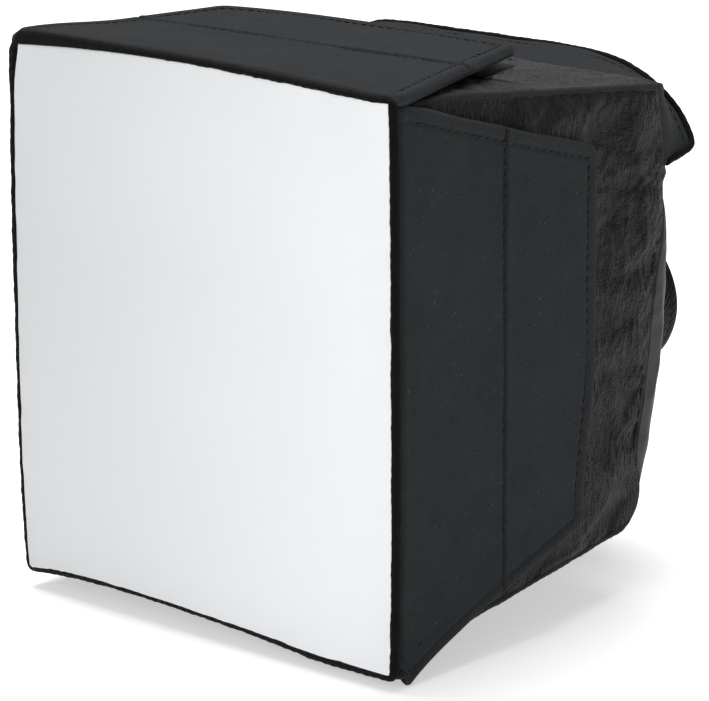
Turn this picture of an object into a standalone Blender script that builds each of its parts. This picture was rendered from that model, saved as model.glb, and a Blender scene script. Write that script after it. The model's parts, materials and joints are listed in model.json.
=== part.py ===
"""Folding softbox for a flash head: a fabric hood held open by four hinged, board-stiffened wings.

Y runs from the white front to the neck at the rear, Z is up, and every depth below is measured from the front face
of the binding. The whole part is then set so that the origin is at the middle of its footprint, on the ground.
"""

import math

import bmesh
import bpy
from mathutils import Matrix, Vector

# Front frame
front_width = 0.150
front_height = 0.170
binding_width = 0.0045
binding_depth = 0.0050
diffuser_inset = 0.0024
diffuser_thickness = 0.0006
diffuser_bulge = 0.0040

# Clearances
gap = 0.0003
seam_gap = 0.0008
hinge_rise = 0.0003

# Wings
wide_wing_length = 0.0735
wide_wing_fold = 0.0385
tall_wing_length = 0.0815
tall_wing_fold = 0.0415
wing_thickness = 0.0032
wing_skin = 0.0008
wing_border = 0.0050
wing_edge_radius = 0.0007
wide_wing_rear_width = 0.115
tall_wing_rear_height = 0.116
board_thickness = 0.0010
tape_width = 0.020
tape_thickness = 0.0012
tape_margin = 0.0035
top_wing_stand_off = math.radians(9.0)
top_fold_dip = math.radians(-1.3)

# Hood
hood_cloth = 0.0015
lining_cloth = 0.0005
hood_rear_width = 0.1458
hood_rear_drop = 0.015
hood_rear_bottom = 0.0186
hood_top_break = 0.028
hood_bottom_break = 0.040
hood_bottom_slope = 0.124
seam_y = 0.126
hood_bottom_corner_y = 0.1195
hood_corner_radius = 0.010
hood_rear_bow = 0.0086
hood_arch = 0.0020
arch_start = 0.085
piping_radius = 0.0012
hem_radius = 0.0060
hem_top_gap = 0.0015
hem_notch = 0.0024

# Rear face, neck and strap
rear_cloth = 0.0014
neck_width = 0.078
neck_height = 0.056
neck_centre_z = 0.077
neck_corner_radius = 0.006
neck_corner_steps = 4
rear_mitre = 0.0008
rear_seam_gap = 0.0014
rear_edge_step = 0.27
neck_start = 0.134
neck_length = 0.032
collar_cloth = 0.0016
strap_cloth = 0.0014
strap_width = 0.025
strap_bow = 0.0110
tab_width = 0.022
tab_length = 0.036
tab_cloth = 0.0012
tab_pad_cloth = 0.0010
tab_pad_length = 0.022
tab_pivot_z = 0.014

# Rear awning
awning_cloth = 0.0016
awning_seam_gap = 0.0009
awning_rear_y = 0.150
awning_skirt = 0.025
awning_rise = 0.0032
awning_rear_half_width = 0.0706
awning_droop = 0.0264
awning_droop_power = 4.4
awning_side_share = 0.25
awning_corner_share = 0.84
lip_radius = 0.0012
pivot_display = 0.02

half_width = front_width / 2
half_height = front_height / 2
neck_end = neck_start + neck_length
hood_half_rear = hood_rear_width / 2
ridge_allowance = 2 * piping_radius + gap
lining_inset = hood_cloth + gap
collar_half_width = neck_width / 2 + collar_cloth
collar_half_height = neck_height / 2 + collar_cloth
strap_grow = gap + strap_cloth
front_reach = gap + diffuser_thickness + diffuser_bulge
front_y = (front_reach - neck_end) / 2

wing_front_y = binding_depth + seam_gap / 2
hood_front_y = binding_depth + gap
hood_front_half_width = half_width - wing_thickness - gap
hood_front_top = front_height - wing_thickness - gap
hood_front_bottom = wing_thickness + gap
hood_rear_top = front_height - hood_rear_drop
awning_low_z = hood_rear_top - awning_skirt
awning_rear_top = hood_rear_top + awning_rise
hem_top_z = awning_low_z - hem_top_gap
tape_stack = tape_thickness + 2 * gap
tape_reach = tape_width + tape_margin
top_slope = math.atan((hood_rear_top - hood_front_top) / (seam_y - hood_top_break))

materials = {
    "diffuser_cloth": ((0.90, 0.92, 0.94), 0.75, 0.0),
    "binding_tape": ((0.008, 0.008, 0.009), 0.75, 0.0),
    "wing_cloth": ((0.035, 0.037, 0.040), 0.85, 0.0),
    "stiffener_board": ((0.30, 0.30, 0.29), 0.60, 0.0),
    "hook_tape": ((0.006, 0.006, 0.006), 0.65, 0.0),
    "loop_cloth": ((0.018, 0.018, 0.019), 0.80, 0.0),
    "silver_lining": ((0.62, 0.63, 0.64), 0.35, 0.9),
    "satin_cloth": ((0.022, 0.023, 0.025), 0.45, 0.0),
    "strap_webbing": ((0.010, 0.010, 0.011), 0.70, 0.0),
}


def clear_scene():
    for thing in list(bpy.data.objects):
        bpy.data.objects.remove(thing)


def new_collection(name, hidden=False):
    collection = bpy.data.collections.new(name)
    bpy.context.scene.collection.children.link(collection)
    collection.hide_render = hidden
    return collection


def material_for(node, kind):
    """Each node has its own material, made from the finish of its kind."""
    colour, roughness, metallic = materials[kind]
    material = bpy.data.materials.new(node)
    material.use_nodes = True
    shader = material.node_tree.nodes["Principled BSDF"]
    shader.inputs["Base Color"].default_value = (*colour, 1.0)
    shader.inputs["Roughness"].default_value = roughness
    shader.inputs["Metallic"].default_value = metallic
    material.diffuse_color = (*colour, 1.0)
    return material


def place(name, data, kind, parent=None, smooth=False):
    thing = bpy.data.objects.new(name, data)
    parts.objects.link(thing)
    data.materials.append(material_for(name, kind))
    if parent is None:
        thing.location = (0, front_y, 0)
    else:
        thing.parent = parent
    if smooth:
        data.shade_smooth()
    return thing


def mix(low, high, share):
    return low + (high - low) * share


def smooth_step(share):
    share = min(max(share, 0.0), 1.0)
    return share * share * (3 - 2 * share)


def sheet(name, surface, columns, rows, cloth, kind, outward=None, closed=False, parent=None):
    """A cloth whose outer face is surface(u, v). It grows inwards by its thickness."""
    mesh = bmesh.new()
    bmesh.ops.create_grid(mesh, x_segments=columns, y_segments=rows, size=0.5)
    for vert in mesh.verts:
        vert.co = surface(vert.co.x + 0.5, vert.co.y + 0.5)
    if closed:
        bmesh.ops.remove_doubles(mesh, verts=mesh.verts, dist=1e-6)
    mesh.normal_update()
    if outward is not None:
        facing = sum((face.normal * face.calc_area() for face in mesh.faces), Vector())
        if facing.dot(Vector(outward)) < 0:
            bmesh.ops.reverse_faces(mesh, faces=mesh.faces)
    data = bpy.data.meshes.new(name)
    mesh.to_mesh(data)
    mesh.free()
    thing = place(name, data, kind, parent, smooth=True)
    wall = thing.modifiers.new("Cloth", "SOLIDIFY")
    wall.thickness = cloth
    wall.offset = -1
    wall.use_even_offset = closed
    return thing


def tapered_box(name, length, near_half, far_half, low, high):
    """A box from y = 0 to length whose width changes along y, between the heights low and high."""
    mesh = bmesh.new()
    bmesh.ops.create_cube(mesh, size=2.0)
    for vert in mesh.verts:
        share = (vert.co.y + 1) / 2
        half = mix(near_half, far_half, share)
        vert.co = (vert.co.x * half, share * length, mix(low, high, (vert.co.z + 1) / 2))
    data = bpy.data.meshes.new(name)
    mesh.to_mesh(data)
    mesh.free()
    return data


def tube(name, points, radius, kind, parent=None):
    curve = bpy.data.curves.new(name, "CURVE")
    curve.dimensions = "3D"
    curve.bevel_depth = radius
    curve.bevel_resolution = 2
    curve.use_fill_caps = True
    line = curve.splines.new("POLY")
    line.points.add(len(points) - 1)
    for point, place_at in zip(line.points, points):
        point.co = (*place_at, 1.0)
    thing = bpy.data.objects.new(name, curve)
    parts.objects.link(thing)
    curve.materials.append(material_for(name, kind))
    if parent is None:
        thing.location = (0, front_y, 0)
    else:
        thing.parent = parent
    return thing


def pivot(name, parent, matrix):
    """An empty on a hinge axis. Its X is the axis, its Y points away from the hinge and its Z points outwards."""
    empty = bpy.data.objects.new(name, None)
    parts.objects.link(empty)
    empty.empty_display_size = pivot_display
    empty.parent = parent
    empty.matrix_local = matrix
    return empty


# Front frame


def front_binding():
    """Four mitred strips of rolled binding tape round the front."""
    sides = {"top": (0, half_width), "right": (90, half_height), "bottom": (180, half_width), "left": (270, half_height)}
    for side, (turn, half) in sides.items():
        outer = half - gap
        data = tapered_box(f"front_binding_{side}", binding_width, outer, outer - binding_width, 0, binding_depth)
        strip = place(f"front_binding_{side}", data, "binding_tape")
        reach = half_height if side in ("top", "bottom") else half_width
        turned = Matrix.Rotation(math.radians(turn), 4, "Y")
        laid = Matrix(((1, 0, 0, 0), (0, 0, 1, 0), (0, -1, 0, reach), (0, 0, 0, 1)))
        strip.matrix_world = Matrix.Translation((0, front_y, half_height)) @ turned @ laid
        roll = strip.modifiers.new("Rolled edge", "BEVEL")
        roll.width = 0.0009
        roll.segments = 2
        roll.limit_method = "ANGLE"


def front_diffuser():
    """White cloth stretched over the front, standing a little proud of the binding."""
    half_x = half_width - diffuser_inset
    half_z = half_height - diffuser_inset

    def surface(u, v):
        across, up = 2 * u - 1, 2 * v - 1
        bulge = diffuser_bulge * (1 - across**4) * (1 - up**4)
        return (across * half_x, -gap - diffuser_thickness - bulge, half_height + up * half_z)

    sheet("front_diffuser", surface, 14, 14, diffuser_thickness, "diffuser_cloth", outward=(0, -1, 0))


# Wings


def wing_section(name, pivot_empty, near, far, half_at, open_end):
    """One section of a wing: a cloth pocket, open at the fold seam, and the stiffener board inside it.

    near and far are distances from the wing's hinge, and the section is drawn from its own hinge at y = 0.
    half_at gives half the wing's width at such a distance.
    """
    top = -hinge_rise
    low = top - wing_thickness
    length = far - near
    near_half, far_half = half_at(near), half_at(far)
    start = seam_gap / 2
    shell = tapered_box(f"{name}_cover", length - seam_gap, near_half, far_half, low, top)
    shell.transform(Matrix.Translation((0, start, 0)))
    cover = place(f"{name}_cover", shell, "wing_cloth", pivot_empty)
    edge = cover.modifiers.new("Rolled edge", "BEVEL")
    edge.width = wing_edge_radius
    edge.segments = 2
    edge.limit_method = "ANGLE"

    pocket_low, pocket_high = low + wing_skin, top - wing_skin
    board_start, board_end = start + wing_border, start + length - seam_gap - wing_border
    pocket_start, pocket_end = board_start - gap, board_end + gap
    if open_end == "near":
        board_start, pocket_start = start + gap, start - wing_border
    else:
        board_end, pocket_end = start + length - seam_gap - gap, start + length + wing_border

    def halves(begin, end, margin):
        return (half_at(near + at) - margin for at in (begin, end))

    pocket = tapered_box(
        f"{name}_pocket", pocket_end - pocket_start, *halves(pocket_start, pocket_end, wing_border - gap),
        pocket_low, pocket_high,
    )
    pocket.transform(Matrix.Translation((0, pocket_start, 0)))
    cutter = bpy.data.objects.new(f"{name}_pocket", pocket)
    cutters.objects.link(cutter)
    cutter.parent = pivot_empty
    cutter.display_type = "WIRE"
    cutter.hide_render = True
    cut = cover.modifiers.new("Pocket", "BOOLEAN")
    cut.object = cutter
    cut.solver = "EXACT"

    middle = (pocket_low + pocket_high) / 2
    board = tapered_box(
        f"{name}_board", board_end - board_start, *halves(board_start, board_end, wing_border),
        middle - board_thickness / 2, middle + board_thickness / 2,
    )
    board.transform(Matrix.Translation((0, board_start, 0)))
    place(f"{name}_board", board, "stiffener_board", pivot_empty)
    return low


def wing(side, hinge_at, turn, tilt, dip, length, fold_at, front_half, rear_half):
    """A wing hinged along the front frame, with a second hinge at its fold seam and hook tape at its rear edge."""

    def half_at(distance):
        return mix(front_half, rear_half, distance / length)

    hinge = pivot(
        f"{side}_wing_hinge", None,
        Matrix.Translation(hinge_at) @ Matrix.Rotation(math.radians(turn), 4, "Y") @ Matrix.Rotation(tilt, 4, "X"),
    )
    fold = pivot(
        f"{side}_wing_fold", hinge,
        Matrix.Translation((0, fold_at, 0)) @ Matrix.Rotation(dip, 4, "X"),
    )
    wing_section(f"{side}_wing_front", hinge, 0, fold_at, half_at, "far")
    low = wing_section(f"{side}_wing_rear", fold, fold_at, length, half_at, "near")

    tape_end = length - fold_at - tape_margin
    tape_start = tape_end - tape_width
    near, far = (half_at(fold_at + at) - tape_margin for at in (tape_start, tape_end))
    tape = tapered_box(f"{side}_wing_hook_tape", tape_width, near, far, low - gap - tape_thickness, low - gap)
    tape.transform(Matrix.Translation((0, tape_start, 0)))
    place(f"{side}_wing_hook_tape", tape, "hook_tape", fold)


def wings():
    flare = math.atan((hood_half_rear + tape_stack - half_width + wing_thickness) / (tall_wing_length - tape_reach))

    def closing_angle(reach):
        """The bottom wing's tilt that lays its hook tape on the hood's bottom, at a distance from its hinge."""
        rise = hood_bottom(wing_front_y + reach) - tape_stack - wing_thickness
        return math.atan(rise / (reach + hinge_rise))

    close = -min(closing_angle(wide_wing_length - tape_reach), closing_angle(wide_wing_length - tape_margin))
    tall_front = half_height - wing_thickness - gap
    hinge_y = front_y + wing_front_y - seam_gap / 2 + gap
    out_x, out_z = half_width + hinge_rise, half_height + hinge_rise
    wide = (wide_wing_length, wide_wing_fold, half_width, wide_wing_rear_width / 2)
    tall = (tall_wing_length, tall_wing_fold, tall_front, tall_wing_rear_height / 2)
    middle = half_height
    wing("top", (0, hinge_y, middle + out_z), 0, top_slope + top_wing_stand_off, top_fold_dip, *wide)
    wing("right", (out_x, hinge_y, middle), 90, flare, 0, *tall)
    wing("bottom", (0, hinge_y, middle - out_z), 180, close, 0, *wide)
    wing("left", (-out_x, hinge_y, middle), 270, flare, 0, *tall)


# Hood


def hood_half_width(y):
    """The hood flares from the frame to its full width under the wings."""
    share = (y - hood_front_y) / (tall_wing_length - tape_reach - hood_front_y)
    return mix(hood_front_half_width, hood_half_rear, min(max(share, 0), 1))


def hood_top(y):
    share = (y - hood_top_break) / (seam_y - hood_top_break)
    return mix(hood_front_top, hood_rear_top, max(share, 0))


def hood_bottom(y):
    if y >= hood_bottom_break:
        return hood_rear_bottom - hood_bottom_slope * (hood_bottom_corner_y - y)
    break_height = hood_rear_bottom - hood_bottom_slope * (hood_bottom_corner_y - hood_bottom_break)
    return mix(hood_front_bottom, break_height, (y - hood_front_y) / (hood_bottom_break - hood_front_y))


def top_line(share):
    """A point (y, z) along the top edge of the hood's side."""
    y = mix(hood_front_y, seam_y, share)
    return y, hood_top(y)


def bottom_line(share):
    """A point (y, z) along the bottom edge of the hood's side, which turns up at the rear in a round corner."""
    straight_share = 0.8
    arc_y = hood_bottom_corner_y - hood_corner_radius
    if share <= straight_share:
        y = mix(hood_front_y, arc_y, share / straight_share)
        return y, hood_bottom(y)
    angle = (share - straight_share) / (1 - straight_share) * math.pi / 2
    rise = hood_corner_radius * (1 - math.cos(angle))
    return arc_y + hood_corner_radius * math.sin(angle), hood_bottom(arc_y) + rise


def side_point(along, up, inset=0.0, trim_rear=0.0):
    """A point on the hood's side, from front to rear and between its ridges, with its rear edge bowed out."""
    y_low, z_low = bottom_line(along)
    y_high, z_high = top_line(along)
    trim = ridge_allowance / (z_high - z_low)
    share = mix(trim, 1 - trim, up)
    y = mix(y_low, y_high, share) - trim_rear * smooth_step(along)
    y += hood_rear_bow * 4 * up * (1 - up) * along**3
    return hood_half_width(y) - inset, y, mix(z_low, z_high, share)


def up_at(z):
    """How far up the hood's rear edge, from 0 to 1, the height z is."""
    low, high = side_point(1, 0)[2], side_point(1, 1)[2]
    return (z - low) / (high - low)


def side_rows():
    """Steps up the hood's side, with one just over the top of the rear hem, where the awning begins."""
    hem_end, awning_start = up_at(hem_top_z), up_at(awning_low_z - gap)
    return [mix(0, hem_end, step / 6) for step in range(7)] + [mix(awning_start, 1, step / 2) for step in range(3)]


def top_point(across, along, inset, trim_side, rear_y):
    y = mix(hood_front_y, rear_y, along)
    half = hood_half_width(y) - trim_side
    arch = hood_arch * smooth_step((y - arch_start) / (seam_y - arch_start)) * (1 - across * across)
    return across * half, y, hood_top(y) + arch - inset


def bottom_point(across, along, inset, trim_side):
    y, z = bottom_line(along)
    before, after = bottom_line(max(along - 0.01, 0)), bottom_line(min(along + 0.01, 1))
    run = Vector((after[0] - before[0], after[1] - before[1])).normalized()
    half = hood_half_width(y) - trim_side
    return across * half, y - run.y * inset, z + run.x * inset


def hood_sides():
    rows = side_rows()
    hem_end = up_at(hem_top_z)
    for side, sign in (("right", 1), ("left", -1)):

        def outer(u, v):
            up = rows[round(v * (len(rows) - 1))]
            trim = hem_radius + gap if up <= hem_end else gap
            x, y, z = side_point(u, up, 0, trim)
            return sign * x, y, z

        def inner(u, v):
            x, y, z = side_point(u, rows[round(v * (len(rows) - 1))], lining_inset, hem_radius + gap)
            return sign * x, y, z

        steps = len(rows) - 1
        sheet(f"hood_{side}_panel", outer, 12, steps, hood_cloth, "loop_cloth", (sign, 0, 0))
        sheet(f"hood_{side}_lining", inner, 12, steps, lining_cloth, "silver_lining", (sign, 0, 0))


def hood_top_and_bottom():
    lining_edge = ridge_allowance + lining_inset + lining_cloth + gap
    lining_end = seam_y - 2 * lining_inset

    def top(u, v):
        return top_point(2 * u - 1, v, 0, ridge_allowance, seam_y)

    def top_lining(u, v):
        return top_point(2 * u - 1, v, lining_inset + gap, lining_edge, lining_end)

    def bottom(u, v):
        return bottom_point(2 * u - 1, v, 0, ridge_allowance)

    def bottom_lining(u, v):
        return bottom_point(2 * u - 1, v, lining_inset, lining_edge)

    sheet("hood_top_panel", top, 10, 12, hood_cloth, "loop_cloth", (0, 0, 1))
    sheet("hood_top_lining", top_lining, 10, 12, lining_cloth, "silver_lining", (0, 0, 1))
    sheet("hood_bottom_panel", bottom, 4, 20, hood_cloth, "loop_cloth", (0, 0, -1))
    sheet("hood_bottom_lining", bottom_lining, 4, 20, lining_cloth, "silver_lining", (0, 0, -1))


def ridge_piping():
    """A round sewn ridge runs along each of the hood's four corners."""
    steps = 20
    run = seam_y - hood_front_y
    upper_start, lower_start = gap / run, piping_radius / run
    for side, sign in (("right", 1), ("left", -1)):
        upper = []
        for step in range(9):
            y, z = top_line(mix(upper_start, 1 - upper_start, step / 8))
            upper.append((sign * (hood_half_width(y) - piping_radius), y, z - piping_radius))
        shares = [mix(lower_start, 1, step / steps) for step in range(steps + 1)]
        lower = [bottom_point(sign, share, piping_radius, piping_radius) for share in shares]
        tube(f"ridge_piping_top_{side}", upper, piping_radius, "binding_tape")
        tube(f"ridge_piping_bottom_{side}", lower, piping_radius, "binding_tape")


def rear_hems():
    """A smooth strip turns each side of the hood round into its rear face, below the awning."""
    for side, sign in (("right", 1), ("left", -1)):

        def surface(u, v):
            x, y, z = side_point(1, v * up_at(hem_top_z - hem_notch))
            angle = u * math.pi / 2
            across = x - hem_radius * (1 - math.cos(angle))
            return sign * across, y - hem_radius * (1 - math.sin(angle)), z

        sheet(f"rear_hem_{side}", surface, 5, 10, hood_cloth, "satin_cloth", (sign, 1, 0))


# Rear face


def rear_side_panels():
    """Each reaches from its hem, and from the awning above it, to the neck."""
    hem_end, awning_start = up_at(hem_top_z - hem_notch), up_at(awning_low_z - gap)
    rows = [(mix(0, hem_end, step / 6), hem_radius) for step in range(7)]
    rows += [(awning_start, mix(hem_radius, awning_cloth, rear_edge_step))]
    rows += [(mix(awning_start, 1, 0.5), awning_cloth), (1, awning_cloth)]
    for side, sign in (("right", 1), ("left", -1)):

        def surface(u, v):
            up, inset = rows[round(v * (len(rows) - 1))]
            x, y, z = side_point(1, up)
            start = Vector((x - inset - rear_seam_gap, y, z))
            height = (2 * up - 1) * (collar_half_height + gap - rear_mitre)
            end = Vector((collar_half_width + gap, neck_start, neck_centre_z + height))
            spot = start.lerp(end, u)
            return sign * spot.x, spot.y, spot.z

        sheet(f"rear_panel_{side}", surface, 4, len(rows) - 1, rear_cloth, "satin_cloth", (sign * 0.2, 1, 0))


def rear_top_and_bottom_panels():
    neck_half = collar_half_width + gap - rear_mitre
    edge_x = hood_half_rear - awning_cloth - rear_seam_gap - rear_mitre
    rear_y, low_z = bottom_line(1)

    def top(u, v):
        across = 2 * u - 1
        height = hood_top(seam_y) + hood_arch * (1 - across * across) - hood_cloth - gap
        start = Vector((across * edge_x, seam_y - gap, height))
        end = Vector((across * neck_half, neck_start, neck_centre_z + collar_half_height + gap))
        return start.lerp(end, v)

    def bottom(u, v):
        across = 2 * u - 1
        start = Vector((across * (hood_half_rear - hem_radius - rear_seam_gap - rear_mitre), rear_y, low_z + gap))
        end = Vector((across * neck_half, neck_start, neck_centre_z - collar_half_height - gap))
        return start.lerp(end, v)

    sheet("rear_panel_top", top, 10, 4, rear_cloth, "satin_cloth", (0, 1, 0))
    sheet("rear_panel_bottom", bottom, 6, 4, rear_cloth, "satin_cloth", (0, 1, 0))


# Awning


def awning_rim(turn):
    """A point of the awning's seam round the hood's rear top edge. turn is -1 to 1, from left to right."""
    sign, size = math.copysign(1, turn), abs(turn)
    top_share = 1 - awning_side_share
    if size <= top_share:
        across = turn / top_share
        return Vector((across * hood_half_rear, seam_y + awning_seam_gap, hood_rear_top + hood_arch * (1 - across * across)))
    z = mix(hood_rear_top, awning_low_z, (size - top_share) / awning_side_share)
    return Vector((sign * hood_half_rear, side_point(1, min(up_at(z), 1))[1] + awning_seam_gap, z))


def awning_edge(turn, y):
    """A point of the awning's free rear edge, an arch that falls away towards its ends."""
    top_share = 1 - awning_side_share
    size = abs(turn)
    if size <= top_share:
        reach = awning_corner_share * size / top_share
    else:
        reach = mix(awning_corner_share, 1, (size - top_share) / awning_side_share)
    across = math.copysign(reach, turn)
    drop = awning_droop * abs(across) ** awning_droop_power
    return Vector((across * awning_rear_half_width, y, awning_rear_top - drop))


def awning():
    """A cloth awning sewn round the hood's rear top edge, with a rolled lip round its free edges."""
    columns = 24
    lip_y = awning_rear_y - lip_radius
    cloth_end = lip_y - lip_radius - gap

    def surface(u, v):
        turn = 2 * u - 1
        rim, edge = awning_rim(turn), awning_edge(turn, cloth_end)
        spot = rim.lerp(edge, smooth_step(v))
        return spot.x, mix(rim.y, edge.y, v), spot.z

    sheet("rear_awning", surface, columns, 5, awning_cloth, "wing_cloth", (0, 0, 1))

    under = Vector((0, 0, -lip_radius - gap))
    inwards = Vector((awning_cloth / 2, 0, 0))
    left_seam = awning_rim(-1) + under + inwards + Vector((0, lip_radius, 0))
    arch = [awning_edge(2 * step / columns - 1, lip_y) for step in range(columns + 1)]
    left_corner = arch[0] + under + inwards
    middle = [point - Vector((0, 0, awning_cloth / 2)) for point in arch[3:-3]]
    rising = [left_corner.lerp(middle[0], share) for share in (0, 0.3, 0.65)]
    half = [left_seam] + rising
    mirrored = [Vector((-point.x, point.y, point.z)) for point in reversed(half)]
    tube("awning_lip", half + middle + mirrored, lip_radius, "binding_tape")


# Neck


def neck_loop(share, half_x, half_z, radius):
    """A point (x, z) round a rounded rectangle, from the middle of its left side upwards over the top."""
    corners = ((-1, 1, 180), (1, 1, 90), (1, -1, 0), (-1, -1, -90))
    points = [Vector((-half_x, 0))]
    for sign_x, sign_z, start in corners:
        centre = Vector((sign_x * (half_x - radius), sign_z * (half_z - radius)))
        for step in range(neck_corner_steps + 1):
            angle = math.radians(start - 90 * step / neck_corner_steps)
            points.append(centre + radius * Vector((math.cos(angle), math.sin(angle))))
        if (sign_x, sign_z) == (1, 1):
            side = [Vector((half_x, (half_z - radius) * mix(1, -1, step / 8))) for step in range(1, 8)]
            points.extend(side)
    points.append(Vector((-half_x, 0)))
    place_on = share * (len(points) - 1)
    index = min(int(place_on + 1e-6), len(points) - 2)
    return points[index].lerp(points[index + 1], place_on - index)


def neck():
    """A sleeve that takes the flash head, and the strap round it, which bows out at its right side."""
    segments = 4 * (neck_corner_steps + 1) + 8

    def collar(u, v):
        x, z = neck_loop(u, collar_half_width, collar_half_height, neck_corner_radius + collar_cloth)
        return x, mix(neck_start + gap, neck_end, v), neck_centre_z + z

    def strap(u, v):
        radius = neck_corner_radius + strap_grow
        x, z = neck_loop(u, collar_half_width + strap_grow, collar_half_height + strap_grow, radius)
        flat_half = collar_half_height + strap_grow - radius
        bow = strap_bow * max(0.0, 1 - (z / flat_half) ** 2) if x > 0 else 0.0
        return x + bow, mix(neck_end - strap_width, neck_end, v), neck_centre_z + z

    sheet("neck_collar", collar, segments, 2, collar_cloth, "satin_cloth", closed=True)
    sheet("neck_strap", strap, segments, 1, strap_cloth, "strap_webbing", closed=True)


def strap_tab():
    """The strap's tab hangs at the left, from a hinge at its top, and closes with a pad of hook tape."""
    face = collar_half_width + strap_grow
    middle_y = neck_end - strap_width / 2
    pad_face = gap + tab_pad_cloth
    at = Vector((-face - pad_face - gap, front_y + middle_y, neck_centre_z + tab_pivot_z))
    hanging = Matrix(((0, 0, -1, 0), (1, 0, 0, 0), (0, -1, 0, 0), (0, 0, 0, 1)))
    hinge = pivot("strap_tab_hinge", None, Matrix.Translation(at) @ hanging)

    def slab(name, low, cloth, begin, length, kind):
        half = tab_width / 2
        data = tapered_box(name, length, half, half, low, low + cloth)
        data.transform(Matrix.Translation((0, begin, 0)))
        return place(name, data, kind, hinge)

    tab = slab("neck_strap_tab", 0, tab_cloth, 0, tab_length, "strap_webbing")
    soften = tab.modifiers.new("Soft edge", "BEVEL")
    soften.width = 0.0004
    soften.segments = 1
    pad_start = (tab_length - tab_pad_length) / 2
    slab("neck_strap_tab_hook", -gap - tab_pad_cloth, tab_pad_cloth, pad_start, tab_pad_length, "hook_tape")


clear_scene()
parts = new_collection("softbox")
cutters = new_collection("cutters", hidden=True)
front_binding()
front_diffuser()
wings()
hood_sides()
hood_top_and_bottom()
ridge_piping()
rear_hems()
rear_side_panels()
rear_top_and_bottom_panels()
awning()
neck()
strap_tab()
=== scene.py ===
import json
import math

import bpy
import numpy as np
from mathutils import Matrix, Vector


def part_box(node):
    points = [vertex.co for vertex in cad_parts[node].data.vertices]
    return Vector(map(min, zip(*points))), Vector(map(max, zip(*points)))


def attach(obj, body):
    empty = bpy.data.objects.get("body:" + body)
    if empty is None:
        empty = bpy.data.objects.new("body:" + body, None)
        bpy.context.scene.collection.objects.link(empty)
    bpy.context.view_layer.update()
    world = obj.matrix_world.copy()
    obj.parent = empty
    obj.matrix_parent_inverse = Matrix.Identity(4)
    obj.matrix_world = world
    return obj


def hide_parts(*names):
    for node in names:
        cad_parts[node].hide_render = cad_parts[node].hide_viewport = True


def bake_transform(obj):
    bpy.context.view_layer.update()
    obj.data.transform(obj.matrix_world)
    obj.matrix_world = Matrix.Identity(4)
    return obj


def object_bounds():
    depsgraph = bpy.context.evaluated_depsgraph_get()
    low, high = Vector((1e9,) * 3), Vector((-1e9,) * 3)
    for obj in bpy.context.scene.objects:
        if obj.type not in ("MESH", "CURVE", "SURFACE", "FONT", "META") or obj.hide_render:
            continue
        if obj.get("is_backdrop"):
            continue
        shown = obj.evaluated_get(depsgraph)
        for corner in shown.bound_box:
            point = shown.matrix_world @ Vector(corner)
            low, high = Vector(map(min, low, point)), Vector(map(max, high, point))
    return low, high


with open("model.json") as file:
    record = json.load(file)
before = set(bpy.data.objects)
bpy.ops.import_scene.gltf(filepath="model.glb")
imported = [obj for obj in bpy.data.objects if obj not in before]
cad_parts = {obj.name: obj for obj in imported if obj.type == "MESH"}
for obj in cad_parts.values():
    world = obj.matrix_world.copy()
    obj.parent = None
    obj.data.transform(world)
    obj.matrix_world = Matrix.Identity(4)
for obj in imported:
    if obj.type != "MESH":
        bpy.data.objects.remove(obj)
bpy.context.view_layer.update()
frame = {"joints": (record.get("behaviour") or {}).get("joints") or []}        # the joints of the imported softbox, from its record

mm = 0.001
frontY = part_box("front_binding_top")[0].y          # front face of the binding, where the depths start
sides = ("top", "right", "bottom", "left")
jointOf = {joint["name"]: joint for joint in frame["joints"]}
hemSteps = 4                                        # faces round the cut edge of a cloth
tiny = 1e-9


# Numbers and noise

def mix(low, high, share):
    return low + (high - low) * share


def smooth(share):
    share = np.clip(share, 0, 1)
    return share * share * (3 - 2 * share)


def bump(distance, width):                          # a soft hump, 1 at distance 0
    return np.exp(-(distance / width) ** 2)


def graded(count, pull):                            # 0 to 1, with closer steps at both ends
    share = np.linspace(0, 1, count)
    return mix(share, (1 - np.cos(np.pi * share)) / 2, pull)


def cloudNoise(x, y, seed):                         # smooth noise from -1 to 1, with cells one unit wide
    size = 61
    table = np.random.default_rng(seed).random((size, size))
    column, row = np.floor(x).astype(int), np.floor(y).astype(int)
    across, up = smooth(x - column), smooth(y - row)
    near = mix(table[column % size, row % size], table[(column + 1) % size, row % size], across)
    column, row = column % size, (row + 1) % size
    far = mix(table[column, row], table[(column + 1) % size, row], across)
    return 2 * mix(near, far, up) - 1


def creases(x, y, seed, sharp=2.5):                 # thin raised folds, 0 to 1
    bend = 0.35 * cloudNoise(x * 0.6, y * 0.6, seed + 1)
    return (1 - np.abs(cloudNoise(x + bend, y + bend, seed))) ** sharp


def cornerPull(inX, inY):                           # 1, less where a square corner is drawn in to a round one
    within = (inX > 0) & (inY > 0)
    return np.where(within, np.maximum(inX, inY) / np.maximum(np.hypot(inX, inY), tiny), 1.0)


# Meshes

def addObject(name, mesh):
    thing = bpy.data.objects.new(name, mesh)
    bpy.context.scene.collection.objects.link(thing)
    return thing


def normalsOf(points, closed):
    if closed:
        across = np.roll(points, -1, 1) - np.roll(points, 1, 1)
    else:
        across = np.gradient(points, axis=1)
    normal = np.cross(across, np.gradient(points, axis=0))
    return normal / np.maximum(np.linalg.norm(normal, axis=2, keepdims=True), 1e-12)


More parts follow.
